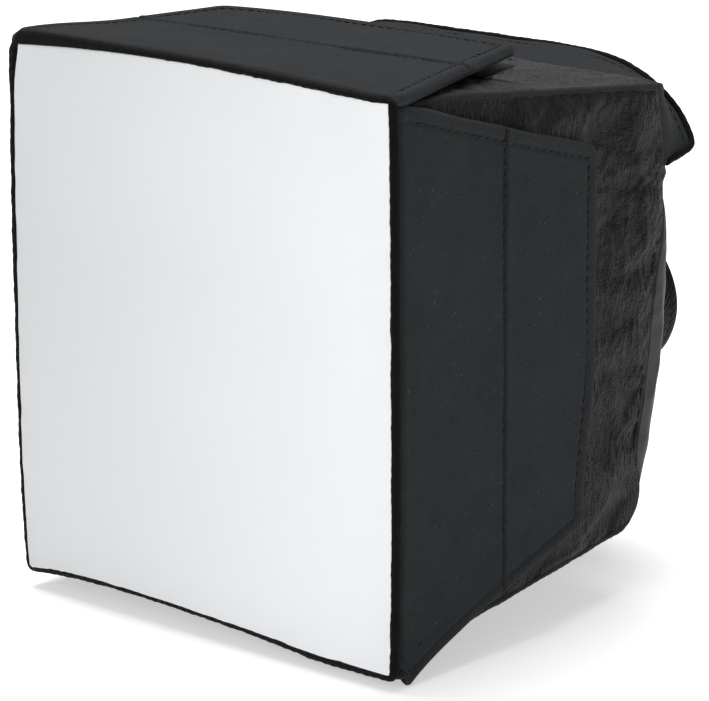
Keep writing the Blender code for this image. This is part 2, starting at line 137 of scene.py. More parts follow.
def clothShell(name, points, relief, thickness, material, facing=None, awayFrom=None, inner=None):
    # points is a grid of the cloth's outer face. relief moves both faces along the normal.
    # A cloth that faces away from a point is a closed tube round it.
    rows, columns = points.shape[:2]
    closed = awayFrom is not None
    normal = normalsOf(points, closed)
    toward = points - np.array(awayFrom) if closed else np.array(facing)
    if (normal * toward).sum() < 0:
        points, relief = points[:, ::-1], np.broadcast_to(relief, (rows, columns))[:, ::-1]
        inner = None if inner is None else inner[:, ::-1]
        normal = normalsOf(points, closed)
    relief = np.broadcast_to(relief, (rows, columns))[..., None]
    outer = points + normal * relief
    inner = outer - normal * thickness if inner is None else inner
    lengthU = np.linalg.norm(np.diff(points, axis=1), axis=2).mean(0)
    lengthV = np.linalg.norm(np.diff(points, axis=0), axis=2).mean(1)
    if closed:
        lengthU = np.append(lengthU, np.linalg.norm(points[:, 0] - points[:, -1], axis=1).mean())
    u = np.concatenate([[0], np.cumsum(lengthU)])
    v = np.concatenate([[0], np.cumsum(lengthV)])
    index = np.arange(rows * columns).reshape(rows, columns)
    nextColumn = np.roll(index, -1, 1) if closed else index[:, 1:]
    this = index if closed else index[:, :-1]
    quads = np.stack([this[:-1], nextColumn[:-1], nextColumn[1:], this[1:]], -1).reshape(-1, 4)
    cells = this.shape[1]
    left, low = np.meshgrid(u[:cells], v[:-1])
    right, high = np.meshgrid(u[1:cells + 1], v[1:])
    corners = ((left, low), (right, low), (right, high), (left, high))
    quadUv = np.stack([np.stack(pair, -1) for pair in corners], 2).reshape(-1, 4, 2)
    size = rows * columns
    outside, inside = outer.reshape(-1, 3), inner.reshape(-1, 3)
    verts, total = [outside, inside], 2 * size
    faces, uvs = [quads, quads[:, ::-1] + size], [quadUv, quadUv[:, ::-1]]
    if closed:
        loops = [index[0], index[-1][::-1]]
    else:
        loops = [np.concatenate([index[0, :-1], index[:-1, -1], index[-1, :0:-1], index[:0:-1, 0]])]
    for loop in loops:
        row, column = loop // columns, loop % columns
        if closed:
            inward = index[np.where(row == 0, 1, rows - 2), column]
        else:
            inward = index[np.clip(row, 1, rows - 2), np.clip(column, 1, columns - 2)]
        away = outside[loop] - outside[inward]
        away /= np.maximum(np.linalg.norm(away, axis=1, keepdims=True), 1e-12)
        across = outside[loop] - inside[loop]
        wide = np.linalg.norm(across, axis=1, keepdims=True)
        middle = (outside[loop] + inside[loop]) / 2
        rings = [loop]
        for step in range(1, hemSteps):
            angle = math.pi * step / hemSteps
            verts.append(middle + across / 2 * math.cos(angle) + away * wide / 2 * math.sin(angle))
            rings.append(np.arange(total, total + len(loop)))
            total += len(loop)
        rings.append(loop + size)
        loopU = u[np.minimum(column, len(u) - 1)]
        loopUv = np.stack([loopU, v[row]], -1)
        for near, far in zip(rings[:-1], rings[1:]):
            after = np.roll(near, -1), np.roll(far, -1)
            faces.append(np.stack([after[0], near, far, after[1]], -1))
            nextUv = np.roll(loopUv, -1, 0)
            uvs.append(np.stack([nextUv, loopUv, loopUv, nextUv], 1))
    mesh = bpy.data.meshes.new(name)
    mesh.from_pydata(np.concatenate(verts).tolist(), [], np.concatenate(faces).tolist())
    layer = mesh.uv_layers.new(name="cloth")
    layer.data.foreach_set("uv", np.concatenate(uvs).astype(np.float32).ravel())
    mesh.shade_smooth()
    mesh.materials.append(material)
    return addObject(name, mesh)


def gridMesh(name, points, outward):                # a bare sheet over a grid of points, facing outwards
    index = np.arange(points.shape[0] * points.shape[1]).reshape(points.shape[:2])
    quads = np.stack([index[:-1, :-1], index[:-1, 1:], index[1:, 1:], index[1:, :-1]], -1).reshape(-1, 4)
    mesh = bpy.data.meshes.new(name)
    mesh.from_pydata(points.reshape(-1, 3).tolist(), [], quads.tolist())
    if sum((face.normal * face.area for face in mesh.polygons), Vector()).dot(Vector(outward)) < 0:
        mesh.flip_normals()
    return mesh


def lineObject(name, lines):                        # several open lines in one mesh, for a tree to follow
    verts, edges = [], []
    for line in lines:
        start = len(verts)
        verts += [tuple(point) for point in line]
        edges += [(start + step, start + step + 1) for step in range(len(line) - 1)]
    mesh = bpy.data.meshes.new(name)
    mesh.from_pydata(verts, edges, [])
    return addObject(name, mesh)


# Node trees

def addNode(tree, kind, settings=None, links=None):   # settings: attributes or input values
    node = tree.nodes.new(kind)
    for key, value in (settings or {}).items():
        if isinstance(key, str) and hasattr(node, key):
            setattr(node, key, value)
        else:
            node.inputs[key].default_value = value
    for key, source in (links or {}).items():
        tree.links.new(source, node.inputs[key])
    return node


def geometryTree(name, inputs):                     # inputs: name to (socket kind, default)
    tree = bpy.data.node_groups.new(name, "GeometryNodeTree")
    tree.interface.new_socket("Geometry", in_out="INPUT", socket_type="NodeSocketGeometry")
    tree.interface.new_socket("Geometry", in_out="OUTPUT", socket_type="NodeSocketGeometry")
    for label, (kind, value) in inputs.items():
        socket = tree.interface.new_socket(label, in_out="INPUT", socket_type=kind)
        if value is not None:
            socket.default_value = value
    return tree, tree.nodes.new("NodeGroupInput"), tree.nodes.new("NodeGroupOutput")


def endTree(tree, last, material, result):          # gives the last node's geometry its material
    links = {"Geometry": last.outputs[0], "Material": material}
    done = addNode(tree, "GeometryNodeSetMaterial", links=links)
    tree.links.new(done.outputs[0], result.inputs[0])


def bakeTree(thing, tree, values):                  # runs the tree on the object and keeps the plain mesh
    modifier = thing.modifiers.new(tree.name, "NODES")
    modifier.node_group = tree
    known = {item.name: item.identifier for item in tree.interface.items_tree if item.in_out == "INPUT"}
    for label, value in values.items():
        modifier[known[label]] = value
    evaluated = thing.evaluated_get(bpy.context.evaluated_depsgraph_get())
    mesh = bpy.data.meshes.new_from_object(evaluated)
    thing.modifiers.clear()
    thing.data = mesh


# Materials

def paint(code):                                    # sRGB hex to linear
    channels = [int(code[at:at + 2], 16) / 255 for at in (1, 3, 5)]
    return tuple(c / 12.92 if c <= 0.04045 else ((c + 0.055) / 1.055) ** 2.4 for c in channels) + (1.0,)


def startMaterial(name, settings):
    material = bpy.data.materials.new(name)
    material.use_nodes = True
    tree = material.node_tree
    shader = tree.nodes["Principled BSDF"]
    for key, value in settings.items():
        shader.inputs[key].default_value = value
    return material, tree, shader, addNode(tree, "ShaderNodeTexCoord").outputs


def weaveOf(tree, coords, threadMm):                # plain weave, from -1 to 1, threads threadMm wide
    turns = math.pi / (threadMm * mm)
    split = addNode(tree, "ShaderNodeSeparateXYZ", links={0: coords})
    waves = {}
    for at, axis in enumerate(("X", "Y")):
        settings = {"operation": "MULTIPLY", 1: turns}
        scaled = addNode(tree, "ShaderNodeMath", settings, {0: split.outputs[axis]})
        wave = addNode(tree, "ShaderNodeMath", {"operation": "SINE"}, {0: scaled.outputs[0]})
        waves[at] = wave.outputs[0]
    return addNode(tree, "ShaderNodeMath", {"operation": "MULTIPLY"}, waves).outputs[0]


def noiseOf(tree, coords, sizeMm, detail=2.0, stretch=(1, 1, 1), roughness=0.5):
    scale = tuple(1 / (sizeMm * mm) * part for part in stretch)
    placed = addNode(tree, "ShaderNodeMapping", {"Scale": scale}, {"Vector": coords})
    settings = {"Scale": 1.0, "Detail": detail, "Roughness": roughness}
    return addNode(tree, "ShaderNodeTexNoise", settings, {"Vector": placed.outputs[0]}).outputs["Fac"]


def sumOf(tree, parts):                             # parts: (socket, weight) pairs
    total = None
    for value, weight in parts:
        links = {0: value} if total is None else {0: value, 2: total}
        settings = {"operation": "MULTIPLY_ADD", 1: weight, 2: 0.0}
        total = addNode(tree, "ShaderNodeMath", settings, links).outputs[0]
    return total


def tintBy(tree, shader, value, low, high, dark, pale):     # dark where value is low, pale where it is high
    share = addNode(tree, "ShaderNodeMapRange", {"From Min": low, "From Max": high}, {"Value": value})
    settings = {"data_type": "RGBA", 6: paint(dark), 7: paint(pale)}
    colour = addNode(tree, "ShaderNodeMix", settings, {0: share.outputs[0]}).outputs[2]
    tree.links.new(colour, shader.inputs["Base Color"])
    return colour


def roughenBy(tree, shader, value, atLow, atHigh):          # a nap or crinkle shines more one way
    settings = {"From Min": 0.3, "From Max": 0.7, "To Min": atLow, "To Max": atHigh}
    rough = addNode(tree, "ShaderNodeMapRange", settings, {"Value": value})
    tree.links.new(rough.outputs[0], shader.inputs["Roughness"])


def pressIn(tree, shader, parts, depthMm):                  # a bump depthMm deep from a sum of patterns
    settings = {"Strength": 1.0, "Distance": depthMm * mm}
    relief = addNode(tree, "ShaderNodeBump", settings, {"Height": sumOf(tree, parts)})
    tree.links.new(relief.outputs[0], shader.inputs["Normal"])


def whiteNylon():
    # Plain-woven white nylon taffeta: matt, faintly bluish, its 0.3 mm threads drawn as 0.6 mm to show.
    # It pales to the right and to the top, as in the photo.
    settings = {"Roughness": 0.62, "IOR": 1.53, "Specular IOR Level": 0.3}
    material, tree, shader, at = startMaterial("whiteNylonTaffeta", settings)
    split = addNode(tree, "ShaderNodeSeparateXYZ", links={0: at["Object"]})
    parts = [(noiseOf(tree, at["Object"], 45, 1.0), 0.1)]
    # Painted shade and light: these two ramps darken the colour to the left and bottom and pale it to the
    # right and top, for how the lamps fall on the cloth; the 45 mm noise is the cloth's own uneven tone.
    for axis, low, high, weight in (("X", -75 * mm, 62 * mm, 0.9), ("Z", 110 * mm, 170 * mm, 0.2)):
        ends = {"From Min": low, "From Max": high}
        rise = addNode(tree, "ShaderNodeMapRange", ends, {"Value": split.outputs[axis]})
        parts.append((rise.outputs[0], weight))
    tintBy(tree, shader, sumOf(tree, parts), 0, 1, "#d4d6d8", "#fbfdff")
    weave, uneven = weaveOf(tree, at["UV"], 0.6), noiseOf(tree, at["UV"], 3.0, 3.0)
    pressIn(tree, shader, [(weave, 0.5), (uneven, 0.8)], 0.02)
    return material


def blackLaminate():
    # Brushed polyester laminated to thin foam: charcoal, matt, with a felt-like fleck and some pale lint.
    settings = {"Roughness": 0.85, "IOR": 1.5, "Specular IOR Level": 0.10}
    settings.update({"Sheen Weight": 0.045, "Sheen Roughness": 0.4})
    material, tree, shader, at = startMaterial("brushedPolyesterLaminate", settings)
    fleck = noiseOf(tree, at["Object"], 0.55, 3.0, roughness=0.7)
    patch = noiseOf(tree, at["Object"], 9.0, 3.0)
    tone = sumOf(tree, [(fleck, 0.80), (patch, 0.30)])
    felt = tintBy(tree, shader, tone, 0.38, 0.72, "#25272a", "#323436")
    settings = {"From Min": 0.81, "From Max": 0.87, "To Max": 0.5}
    lint = addNode(tree, "ShaderNodeMapRange", settings, {"Value": noiseOf(tree, at["Object"], 0.9, 0.0)})
    settings = {"data_type": "RGBA", 7: paint("#66696b")}
    linted = addNode(tree, "ShaderNodeMix", settings, {0: lint.outputs[0], 6: felt})
    tree.links.new(linted.outputs[2], shader.inputs["Base Color"])
    pressIn(tree, shader, [(fleck, 1.2), (weaveOf(tree, at["UV"], 0.7), 0.10), (patch, 0.6)], 0.26)
    return material


def loopPile(name, dark, pale, shine):
    # Brushed loop knit, the side that hook tape grips: a soft pile whose nap shines more one way.
    settings = {"IOR": 1.5, "Specular IOR Level": shine, "Sheen Weight": 0.03, "Sheen Roughness": 0.35}
    material, tree, shader, at = startMaterial(name, settings)
    loops = addNode(tree, "ShaderNodeMapping", {"Scale": (1100, 1100, 1100)}, {"Vector": at["Object"]})
    settings = {"Scale": 1.0, "Randomness": 0.85}
    cells = addNode(tree, "ShaderNodeTexVoronoi", settings, {"Vector": loops.outputs[0]})
    fuzz = noiseOf(tree, at["Object"], 0.6, 2.0, roughness=0.65)
    streak = noiseOf(tree, at["Object"], 1.7, 3.0, (1, 1.8, 0.45), roughness=0.6)
    tintBy(tree, shader, sumOf(tree, [(fuzz, 0.5), (streak, 0.5)]), 0.36, 0.66, dark, pale)
    roughenBy(tree, shader, streak, 0.66, 0.38)
    pressIn(tree, shader, [(cells.outputs["Distance"], -0.8), (fuzz, 0.8), (streak, 2.2)], 0.46)
    return material


def blackTape():
    # Woven polyester edging tape: near black, with fine cross ribs 0.7 mm apart, a little lighter on their
    # raised crests.
    ribApart = 0.7 * mm
    settings = {"Roughness": 0.75, "IOR": 1.5, "Specular IOR Level": 0.10}
    settings.update({"Sheen Weight": 0.02, "Sheen Roughness": 0.4})
    material, tree, shader, at = startMaterial("wovenEdgingTape", settings)
    split = addNode(tree, "ShaderNodeSeparateXYZ", links={0: at["Object"]})
    along = sumOf(tree, [(split.outputs[axis], 1.0) for axis in ("X", "Y", "Z")])
    turns = addNode(tree, "ShaderNodeMath", {"operation": "MULTIPLY", 1: 2 * math.pi / ribApart}, {0: along})
    ribs = addNode(tree, "ShaderNodeMath", {"operation": "SINE"}, {0: turns.outputs[0]}).outputs[0]
    fuzz = noiseOf(tree, at["Object"], 0.7, 3.0, roughness=0.7)
    # the rib wave makes the raised rib crests a little lighter than the hollows
    tintBy(tree, shader, sumOf(tree, [(fuzz, 1.0), (ribs, 0.05)]), 0.35, 0.7, "#070708", "#141516")
    pressIn(tree, shader, [(ribs, 0.3), (fuzz, 1.0)], 0.12)
    return material


def blackSatin():
    # Satin-woven polyester: smooth and slightly glossy, with a fine diagonal twill line.
    settings = {"Roughness": 0.42, "IOR": 1.5, "Specular IOR Level": 0.28}
    settings.update({"Sheen Weight": 0.02, "Sheen Roughness": 0.3})
    material, tree, shader, at = startMaterial("blackSatinWeave", settings)
    rotation = (0, 0, math.radians(58))
    turned = addNode(tree, "ShaderNodeMapping", {"Rotation": rotation}, {"Vector": at["UV"]})
    twill = weaveOf(tree, turned.outputs[0], 0.7)
    cloudy = noiseOf(tree, at["Object"], 6.0, 3.0)
    tintBy(tree, shader, cloudy, 0.35, 0.65, "#101113", "#1d1f21")
    roughenBy(tree, shader, cloudy, 0.36, 0.52)
    pressIn(tree, shader, [(twill, 0.35), (cloudy, 1.0)], 0.06)
    return material


def blackWebbing():
    # Polypropylene webbing: tight black weave of 1.2 mm cords. Painted highlight and shade: its colour is
    # paler on the cord crowns and darker between them, and darker overall for the shade the strap sits in.
    settings = {"Roughness": 0.55, "IOR": 1.49, "Specular IOR Level": 0.12}
    material, tree, shader, at = startMaterial("polypropyleneWebbing", settings)
    cords = weaveOf(tree, at["UV"], 1.2)
    # painted highlight on the cord crowns, painted shade between them and over the whole webbing
    tintBy(tree, shader, cords, -1, 1, "#050506", "#111213")
    pressIn(tree, shader, [(cords, 0.5), (noiseOf(tree, at["Object"], 0.8, 2.0), 0.7)], 0.22)
    return material


def silverCloth():
    # Cloth with a vapour-deposited aluminium face: bright, crinkled, not quite a mirror.
    settings = {"Metallic": 0.85, "Specular Tint": (1.0, 1.0, 1.0, 1.0)}
    material, tree, shader, at = startMaterial("aluminisedCloth", settings)
    crinkled = noiseOf(tree, at["Object"], 5.0, 5.0, roughness=0.6)
    tintBy(tree, shader, crinkled, 0.3, 0.7, "#b4b7b9", "#dcdedf")
    roughenBy(tree, shader, crinkled, 0.30, 0.46)
    pressIn(tree, shader, [(crinkled, 1.0), (weaveOf(tree, at["UV"], 0.8), 0.04)], 0.5)
    return material


def nylonHook():
    # Nylon monofilament hooks and their backing: black, smooth plastic with a small hard gleam.
    settings = {"Roughness": 0.36, "IOR": 1.53, "Specular IOR Level": 0.3}
    material, tree, shader, at = startMaterial("nylonHookTape", settings)
    tintBy(tree, shader, noiseOf(tree, at["Object"], 1.5, 2.0), 0.35, 0.65, "#08080a", "#1b1c1e")
    return material


def sewingThread():
    # Twisted polyester thread: black, with a soft gleam; its colour is painted lighter and darker in small
    # patches, painted light and shade for the turns of its twist.
    settings = {"Roughness": 0.5, "IOR": 1.5, "Specular IOR Level": 0.3}
    material, tree, shader, at = startMaterial("blackPolyesterThread", settings)
    tintBy(tree, shader, noiseOf(tree, at["Object"], 0.5, 1.0), 0.4, 0.6, "#040405", "#121314")
    return material


def polypropyleneSheet():
    # Extruded polypropylene board: translucent grey-white, matt, with faint flow lines.
    material, tree, shader, at = startMaterial("polypropyleneSheet", {"Roughness": 0.5, "IOR": 1.49})
    flow = noiseOf(tree, at["Object"], 14.0, 2.0, (1, 0.1, 1))
    tintBy(tree, shader, flow, 0, 1, "#8b8c8b", "#a3a4a2")
    return material


cloth = {
    "white": whiteNylon(),
    "laminate": blackLaminate(),
    "loop": loopPile("brushedLoopKnit", "#17181a", "#3a3c3e", 0.26),
    # Painted shade: a darker copy of the same loop knit, for the hood's side panels, which the lamps light
    # less than the top.
    "loopPaintedShade": loopPile("brushedLoopKnitPaintedShade", "#0c0d0e", "#1b1c1d", 0.17),
    "tape": blackTape(),
    "satin": blackSatin(),
    "webbing": blackWebbing(),
    "silver": silverCloth(),
    "hook": nylonHook(),
    "thread": sewingThread(),
    "board": polypropyleneSheet(),
}
print("materials ready")


# Camera, light and floor

stage = {
    "lens": 181.54, "sensor": 36.0, "roll": math.radians(-0.32),
    "eye": Vector((0.69317, -0.81896, 0.35814)), "target": Vector((0.060, -0.08055, 0.0959)),
    "floorSize": 12.0, "floorColour": "#fbfbfb", "sky": 0.25, "floorGlow": 0.50,
    "litAt": Vector((0, 0, 0.08)),                  # where both lamps point
    "lights": {                                     # name: place, size, power in watts
        "topLight": ((-0.40, 0.32, 1.70), 1.5, 30.5),
        "frontLight": ((0.10, -1.25, 0.82), 0.7, 2.6),
    },
}


def buildStage():
    forward = (stage["target"] - stage["eye"]).normalized()
    right = forward.cross(Vector((0, 0, 1))).normalized()
    up = right.cross(forward)
    turnedRight = right * math.cos(stage["roll"]) + up * math.sin(stage["roll"])
    turnedUp = up * math.cos(stage["roll"]) - right * math.sin(stage["roll"])
    camera = bpy.data.cameras.new("camera")
    camera.lens, camera.sensor_width = stage["lens"], stage["sensor"]
    camera.clip_start, camera.clip_end = 0.01, 50
    eye = addObject("camera", camera)
    turned = Matrix((turnedRight, turnedUp, -forward)).transposed().to_4x4()
    eye.matrix_world = Matrix.Translation(stage["eye"]) @ turned
    bpy.context.scene.camera = eye
    for name, (place, size, power) in stage["lights"].items():
        light = bpy.data.lights.new(name, "AREA")
        light.shape, light.size, light.energy = "DISK", size, power
        lamp = addObject(name, light)
        lamp.location = place
        lamp.rotation_mode = "QUATERNION"
        lamp.rotation_quaternion = (stage["litAt"] - Vector(place)).to_track_quat("-Z", "Y")
    world = bpy.data.worlds.new("studio")
    world.use_nodes = True
    world.node_tree.nodes["Background"].inputs["Color"].default_value = (1, 1, 1, 1)
    world.node_tree.nodes["Background"].inputs["Strength"].default_value = stage["sky"]
    bpy.context.scene.world = world
    half = stage["floorSize"] / 2
    corners = [(-half, -half, 0), (half, -half, 0), (half, half, 0), (-half, half, 0)]
    mesh = bpy.data.meshes.new("floor")
    mesh.from_pydata(corners, [], [(0, 1, 2, 3)])
    floor = addObject("floor", mesh)
    settings = {"Roughness": 0.9, "Base Color": paint(stage["floorColour"]), "Emission Color": (1, 1, 1, 1)}
    settings["Emission Strength"] = stage["floorGlow"]
    mesh.materials.append(startMaterial("paleFloor", settings)[0])
    floor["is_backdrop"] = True
    bpy.context.scene.view_settings.view_transform = "Standard"


buildStage()
print("camera, lights and floor ready")


# Stitches, hooks and the rolled front edge are grown by node trees

def stitchTree():
    inputs = {
        "Pitch": ("NodeSocketFloat", 3 * mm), "Length": ("NodeSocketFloat", 2 * mm),
        "Thread": ("NodeSocketFloat", 0.4 * mm), "Jitter": ("NodeSocketFloat", 0.12),
        "Seed": ("NodeSocketInt", 1), "Material": ("NodeSocketMaterial", None),
    }
    tree, given, result = geometryTree("stitchLine", inputs)
    ask = given.outputs
    line = addNode(tree, "GeometryNodeMeshToCurve", links={"Mesh": ask["Geometry"]})
    links = {"Curve": line.outputs[0], "Length": ask["Pitch"]}
    dots = addNode(tree, "GeometryNodeResampleCurve", {"mode": "LENGTH"}, links)
    tangent = addNode(tree, "GeometryNodeInputTangent")
    turn = addNode(tree, "FunctionNodeAlignRotationToVector", {"axis": "Z"}, {"Vector": tangent.outputs[0]})
    least = addNode(tree, "ShaderNodeMath", {"operation": "MULTIPLY", 1: -1.0}, {0: ask["Jitter"]})
    links = {"Seed": ask["Seed"], 0: least.outputs[0], 1: ask["Jitter"]}
    wobble = addNode(tree, "FunctionNodeRandomValue", {"data_type": "FLOAT_VECTOR"}, links)
    leaned = addNode(tree, "FunctionNodeRotateRotation", links={0: turn.outputs[0], 1: wobble.outputs[0]})
    ball = addNode(tree, "GeometryNodeMeshUVSphere", {"Segments": 6, "Rings": 5, "Radius": 0.5})
    links = {"X": ask["Thread"], "Y": ask["Thread"], "Z": ask["Length"]}
    size = addNode(tree, "ShaderNodeCombineXYZ", links=links)
    links = {"Geometry": ball.outputs[0], "Scale": size.outputs[0]}
    pill = addNode(tree, "GeometryNodeTransform", links=links)
    links = {"Points": dots.outputs[0], "Instance": pill.outputs[0], "Rotation": leaned.outputs[0]}
    many = addNode(tree, "GeometryNodeInstanceOnPoints", links=links)
    real = addNode(tree, "GeometryNodeRealizeInstances", links={0: many.outputs[0]})
    smoothed = addNode(tree, "GeometryNodeSetShadeSmooth", links={0: real.outputs[0]})
    endTree(tree, smoothed, ask["Material"], result)
    return tree


def hookTree():
    inputs = {
        "Density": ("NodeSocketFloat", 600000.0), "Height": ("NodeSocketFloat", 0.8 * mm),
        "Filament": ("NodeSocketFloat", 0.09 * mm), "Seed": ("NodeSocketInt", 1),
        "Material": ("NodeSocketMaterial", None),
    }
    tree, given, result = geometryTree("hookField", inputs)
    ask = given.outputs
    settings = {"distribute_method": "RANDOM"}
    links = {"Mesh": ask["Geometry"], "Density": ask["Density"], "Seed": ask["Seed"]}
    dots = addNode(tree, "GeometryNodeDistributePointsOnFaces", settings, links)
    settings = {
        "mode": "POSITION", "Resolution": 6, "Start": (0, 0, 0), "Start Handle": (0, 0, 0.9),
        "End Handle": (0.35, 0, 1.35), "End": (0.55, 0, 0.55),
    }
    bend = addNode(tree, "GeometryNodeCurvePrimitiveBezierSegment", settings)
    cube = addNode(tree, "ShaderNodeCombineXYZ", links={axis: ask["Height"] for axis in ("X", "Y", "Z")})
    links = {"Geometry": bend.outputs[0], "Scale": cube.outputs[0]}
    sized = addNode(tree, "GeometryNodeTransform", links=links)
    ring = addNode(tree, "GeometryNodeCurvePrimitiveCircle", {"Resolution": 3}, {"Radius": ask["Filament"]})
    links = {"Curve": sized.outputs[0], "Profile Curve": ring.outputs[0]}
    hook = addNode(tree, "GeometryNodeCurveToMesh", {"Fill Caps": True}, links)
    settings = {"data_type": "FLOAT_VECTOR", 0: (-0.25, -0.25, 0.0), 1: (0.25, 0.25, 6.28)}
    spin = addNode(tree, "FunctionNodeRandomValue", settings, {"Seed": ask["Seed"]})
    links = {0: dots.outputs["Rotation"], 1: spin.outputs[0]}
    turned = addNode(tree, "FunctionNodeRotateRotation", {"rotation_space": "LOCAL"}, links)
    links = {"Points": dots.outputs["Points"], "Instance": hook.outputs[0], "Rotation": turned.outputs[0]}
    many = addNode(tree, "GeometryNodeInstanceOnPoints", links=links)
    real = addNode(tree, "GeometryNodeRealizeInstances", links={0: many.outputs[0]})
    endTree(tree, real, ask["Material"], result)
    return tree


def rollTree():
    inputs = {
        "Width": ("NodeSocketFloat", 147 * mm), "Height": ("NodeSocketFloat", 167 * mm),
        "Corner": ("NodeSocketFloat", 3 * mm), "Roll Width": ("NodeSocketFloat", 3 * mm),
        "Roll Depth": ("NodeSocketFloat", 6 * mm), "Step": ("NodeSocketFloat", 0.7 * mm),
        "Pucker": ("NodeSocketFloat", 0.05 * mm), "Pucker Pitch": ("NodeSocketFloat", 3.1 * mm),
        "Lump": ("NodeSocketFloat", 0.7 * mm), "Lump Length": ("NodeSocketFloat", 6 * mm),
        "Material": ("NodeSocketMaterial", None),
    }
    tree, given, result = geometryTree("rolledEdge", inputs)
    ask = given.outputs
    links = {0: ask["Width"], 1: ask["Height"]}
    frameLine = addNode(tree, "GeometryNodeCurvePrimitiveQuadrilateral", links=links)
    links = {"Curve": frameLine.outputs[0], "Radius": ask["Corner"]}
    rounded = addNode(tree, "GeometryNodeFilletCurve", {"mode": "POLY", "Count": 6}, links)
    links = {"Curve": rounded.outputs[0], "Length": ask["Step"]}
    stepped = addNode(tree, "GeometryNodeResampleCurve", {"mode": "LENGTH"}, links)
    run = addNode(tree, "GeometryNodeSplineParameter")
    kept = addNode(tree, "GeometryNodeCaptureAttribute", {"domain": "POINT"}, {0: stepped.outputs[0]})
    kept.capture_items.new("FLOAT", "Run")
    tree.links.new(run.outputs["Length"], kept.inputs[1])
    ring = addNode(tree, "GeometryNodeCurvePrimitiveCircle", {"Resolution": 14, "Radius": 0.5})
    links = {"X": ask["Roll Width"], "Y": ask["Roll Depth"]}
    shape = addNode(tree, "ShaderNodeCombineXYZ", {"Z": 1.0}, links)
    links = {"Geometry": ring.outputs[0], "Scale": shape.outputs[0]}
    oval = addNode(tree, "GeometryNodeTransform", links=links)
    links = {"Curve": kept.outputs[0], "Profile Curve": oval.outputs[0]}
    tube = addNode(tree, "GeometryNodeCurveToMesh", links=links)
    place = addNode(tree, "GeometryNodeInputPosition")
    normal = addNode(tree, "GeometryNodeInputNormal")
    cell = addNode(tree, "ShaderNodeMath", {"operation": "DIVIDE", 0: 1.0}, {1: ask["Lump Length"]})
    links = {"Vector": place.outputs[0], "Scale": cell.outputs[0]}
    cloud = addNode(tree, "ShaderNodeTexNoise", {"Detail": 2.0}, links)
    lump = addNode(tree, "ShaderNodeMath", {"operation": "SUBTRACT", 1: 0.5}, {0: cloud.outputs["Fac"]})
    lump = addNode(tree, "ShaderNodeMath", {"operation": "MULTIPLY"}, {0: lump.outputs[0], 1: ask["Lump"]})
    links = {0: kept.outputs[1], 1: ask["Pucker Pitch"]}
    turns = addNode(tree, "ShaderNodeMath", {"operation": "DIVIDE"}, links)
    settings = {"operation": "MULTIPLY", 1: 2 * math.pi}
    turns = addNode(tree, "ShaderNodeMath", settings, {0: turns.outputs[0]})
    wave = addNode(tree, "ShaderNodeMath", {"operation": "SINE"}, {0: turns.outputs[0]})
    links = {0: wave.outputs[0], 1: ask["Pucker"], 2: lump.outputs[0]}
    swell = addNode(tree, "ShaderNodeMath", {"operation": "MULTIPLY_ADD"}, links)
    links = {0: normal.outputs[0], "Scale": swell.outputs[0]}
    offset = addNode(tree, "ShaderNodeVectorMath", {"operation": "SCALE"}, links)
    links = {"Geometry": tube.outputs[0], "Offset": offset.outputs[0]}
    moved = addNode(tree, "GeometryNodeSetPosition", links=links)
    smoothed = addNode(tree, "GeometryNodeSetShadeSmooth", links={0: moved.outputs[0]})
    endTree(tree, smoothed, ask["Material"], result)
    return tree


trees = {"stitch": stitchTree(), "hook": hookTree(), "roll": rollTree()}


def sew(name, lines, body, slot, seed, pitch=3.1 * mm, length=2.3 * mm, thread=0.42 * mm):
    seam = lineObject(name, lines)
    values = {"Pitch": pitch, "Length": length, "Thread": thread, "Seed": seed, "Material": cloth["thread"]}
    bakeTree(seam, trees["stitch"], values)
    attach(seam, body)


def growHooks(name, field, body, height, seed):     # bristles of hook tape on the mesh called field
    hooks = addObject(name, field)
    values = {"Density": 550000.0, "Height": height, "Seed": seed, "Material": cloth["hook"]}
    bakeTree(hooks, trees["hook"], values)
    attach(hooks, body)


def keep(piece, body, slot, *nodes):                # its body, a finish that is not used, and the nodes it stands for
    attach(piece, body)
    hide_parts(*nodes)


# Front: white diffuser and its rolled black edge

front = {
    "halfWidth": 75 * mm, "halfHeight": 85 * mm, "inset": 2.0 * mm, "leftInset": 2.7 * mm, "bulge": 3.6 * mm,
    "cloth": 0.6 * mm, "rollWidth": 3.0 * mm, "rollDepth": 3.4 * mm, "corner": 2.0 * mm, "seam": 0.85 * mm,
    "rollAhead": 0.9 * mm, "clothBehind": 0.3 * mm, "leftLean": 0.45 * mm, "cornerInset": 0.9 * mm,
    "bow": {"left": 2.3 * mm, "right": 0.9 * mm, "top": 2.6 * mm, "bottom": 3.6 * mm},
    "hump": {"top": (1.0, 1.85, 0.85), "bottom": (1.04, 1.65, 0.62)},       # start, span, lean of a bow
    "bowDepth": (5 * mm, 32 * mm),                  # full before the first depth, faded out over the second
    "swell": 2.6 * mm, "swellWidth": 34 * mm, "swellDepth": 46 * mm,        # of the fuller top left corner
    "hang": 1.1 * mm, "leftBulge": 0.8 * mm,        # how far the roll sags below and bulges at the top left
    "pucker": {"pitch": 4.5 * mm, "across": 14 * mm, "fade": 7 * mm, "height": 0.16 * mm},
    "sag": {"width": 48 * mm, "length": 60 * mm, "fade": 25 * mm, "height": 0.22 * mm},
    "stitches": {"pitch": 2.9 * mm, "length": 1.9 * mm, "thread": 0.3 * mm},
}


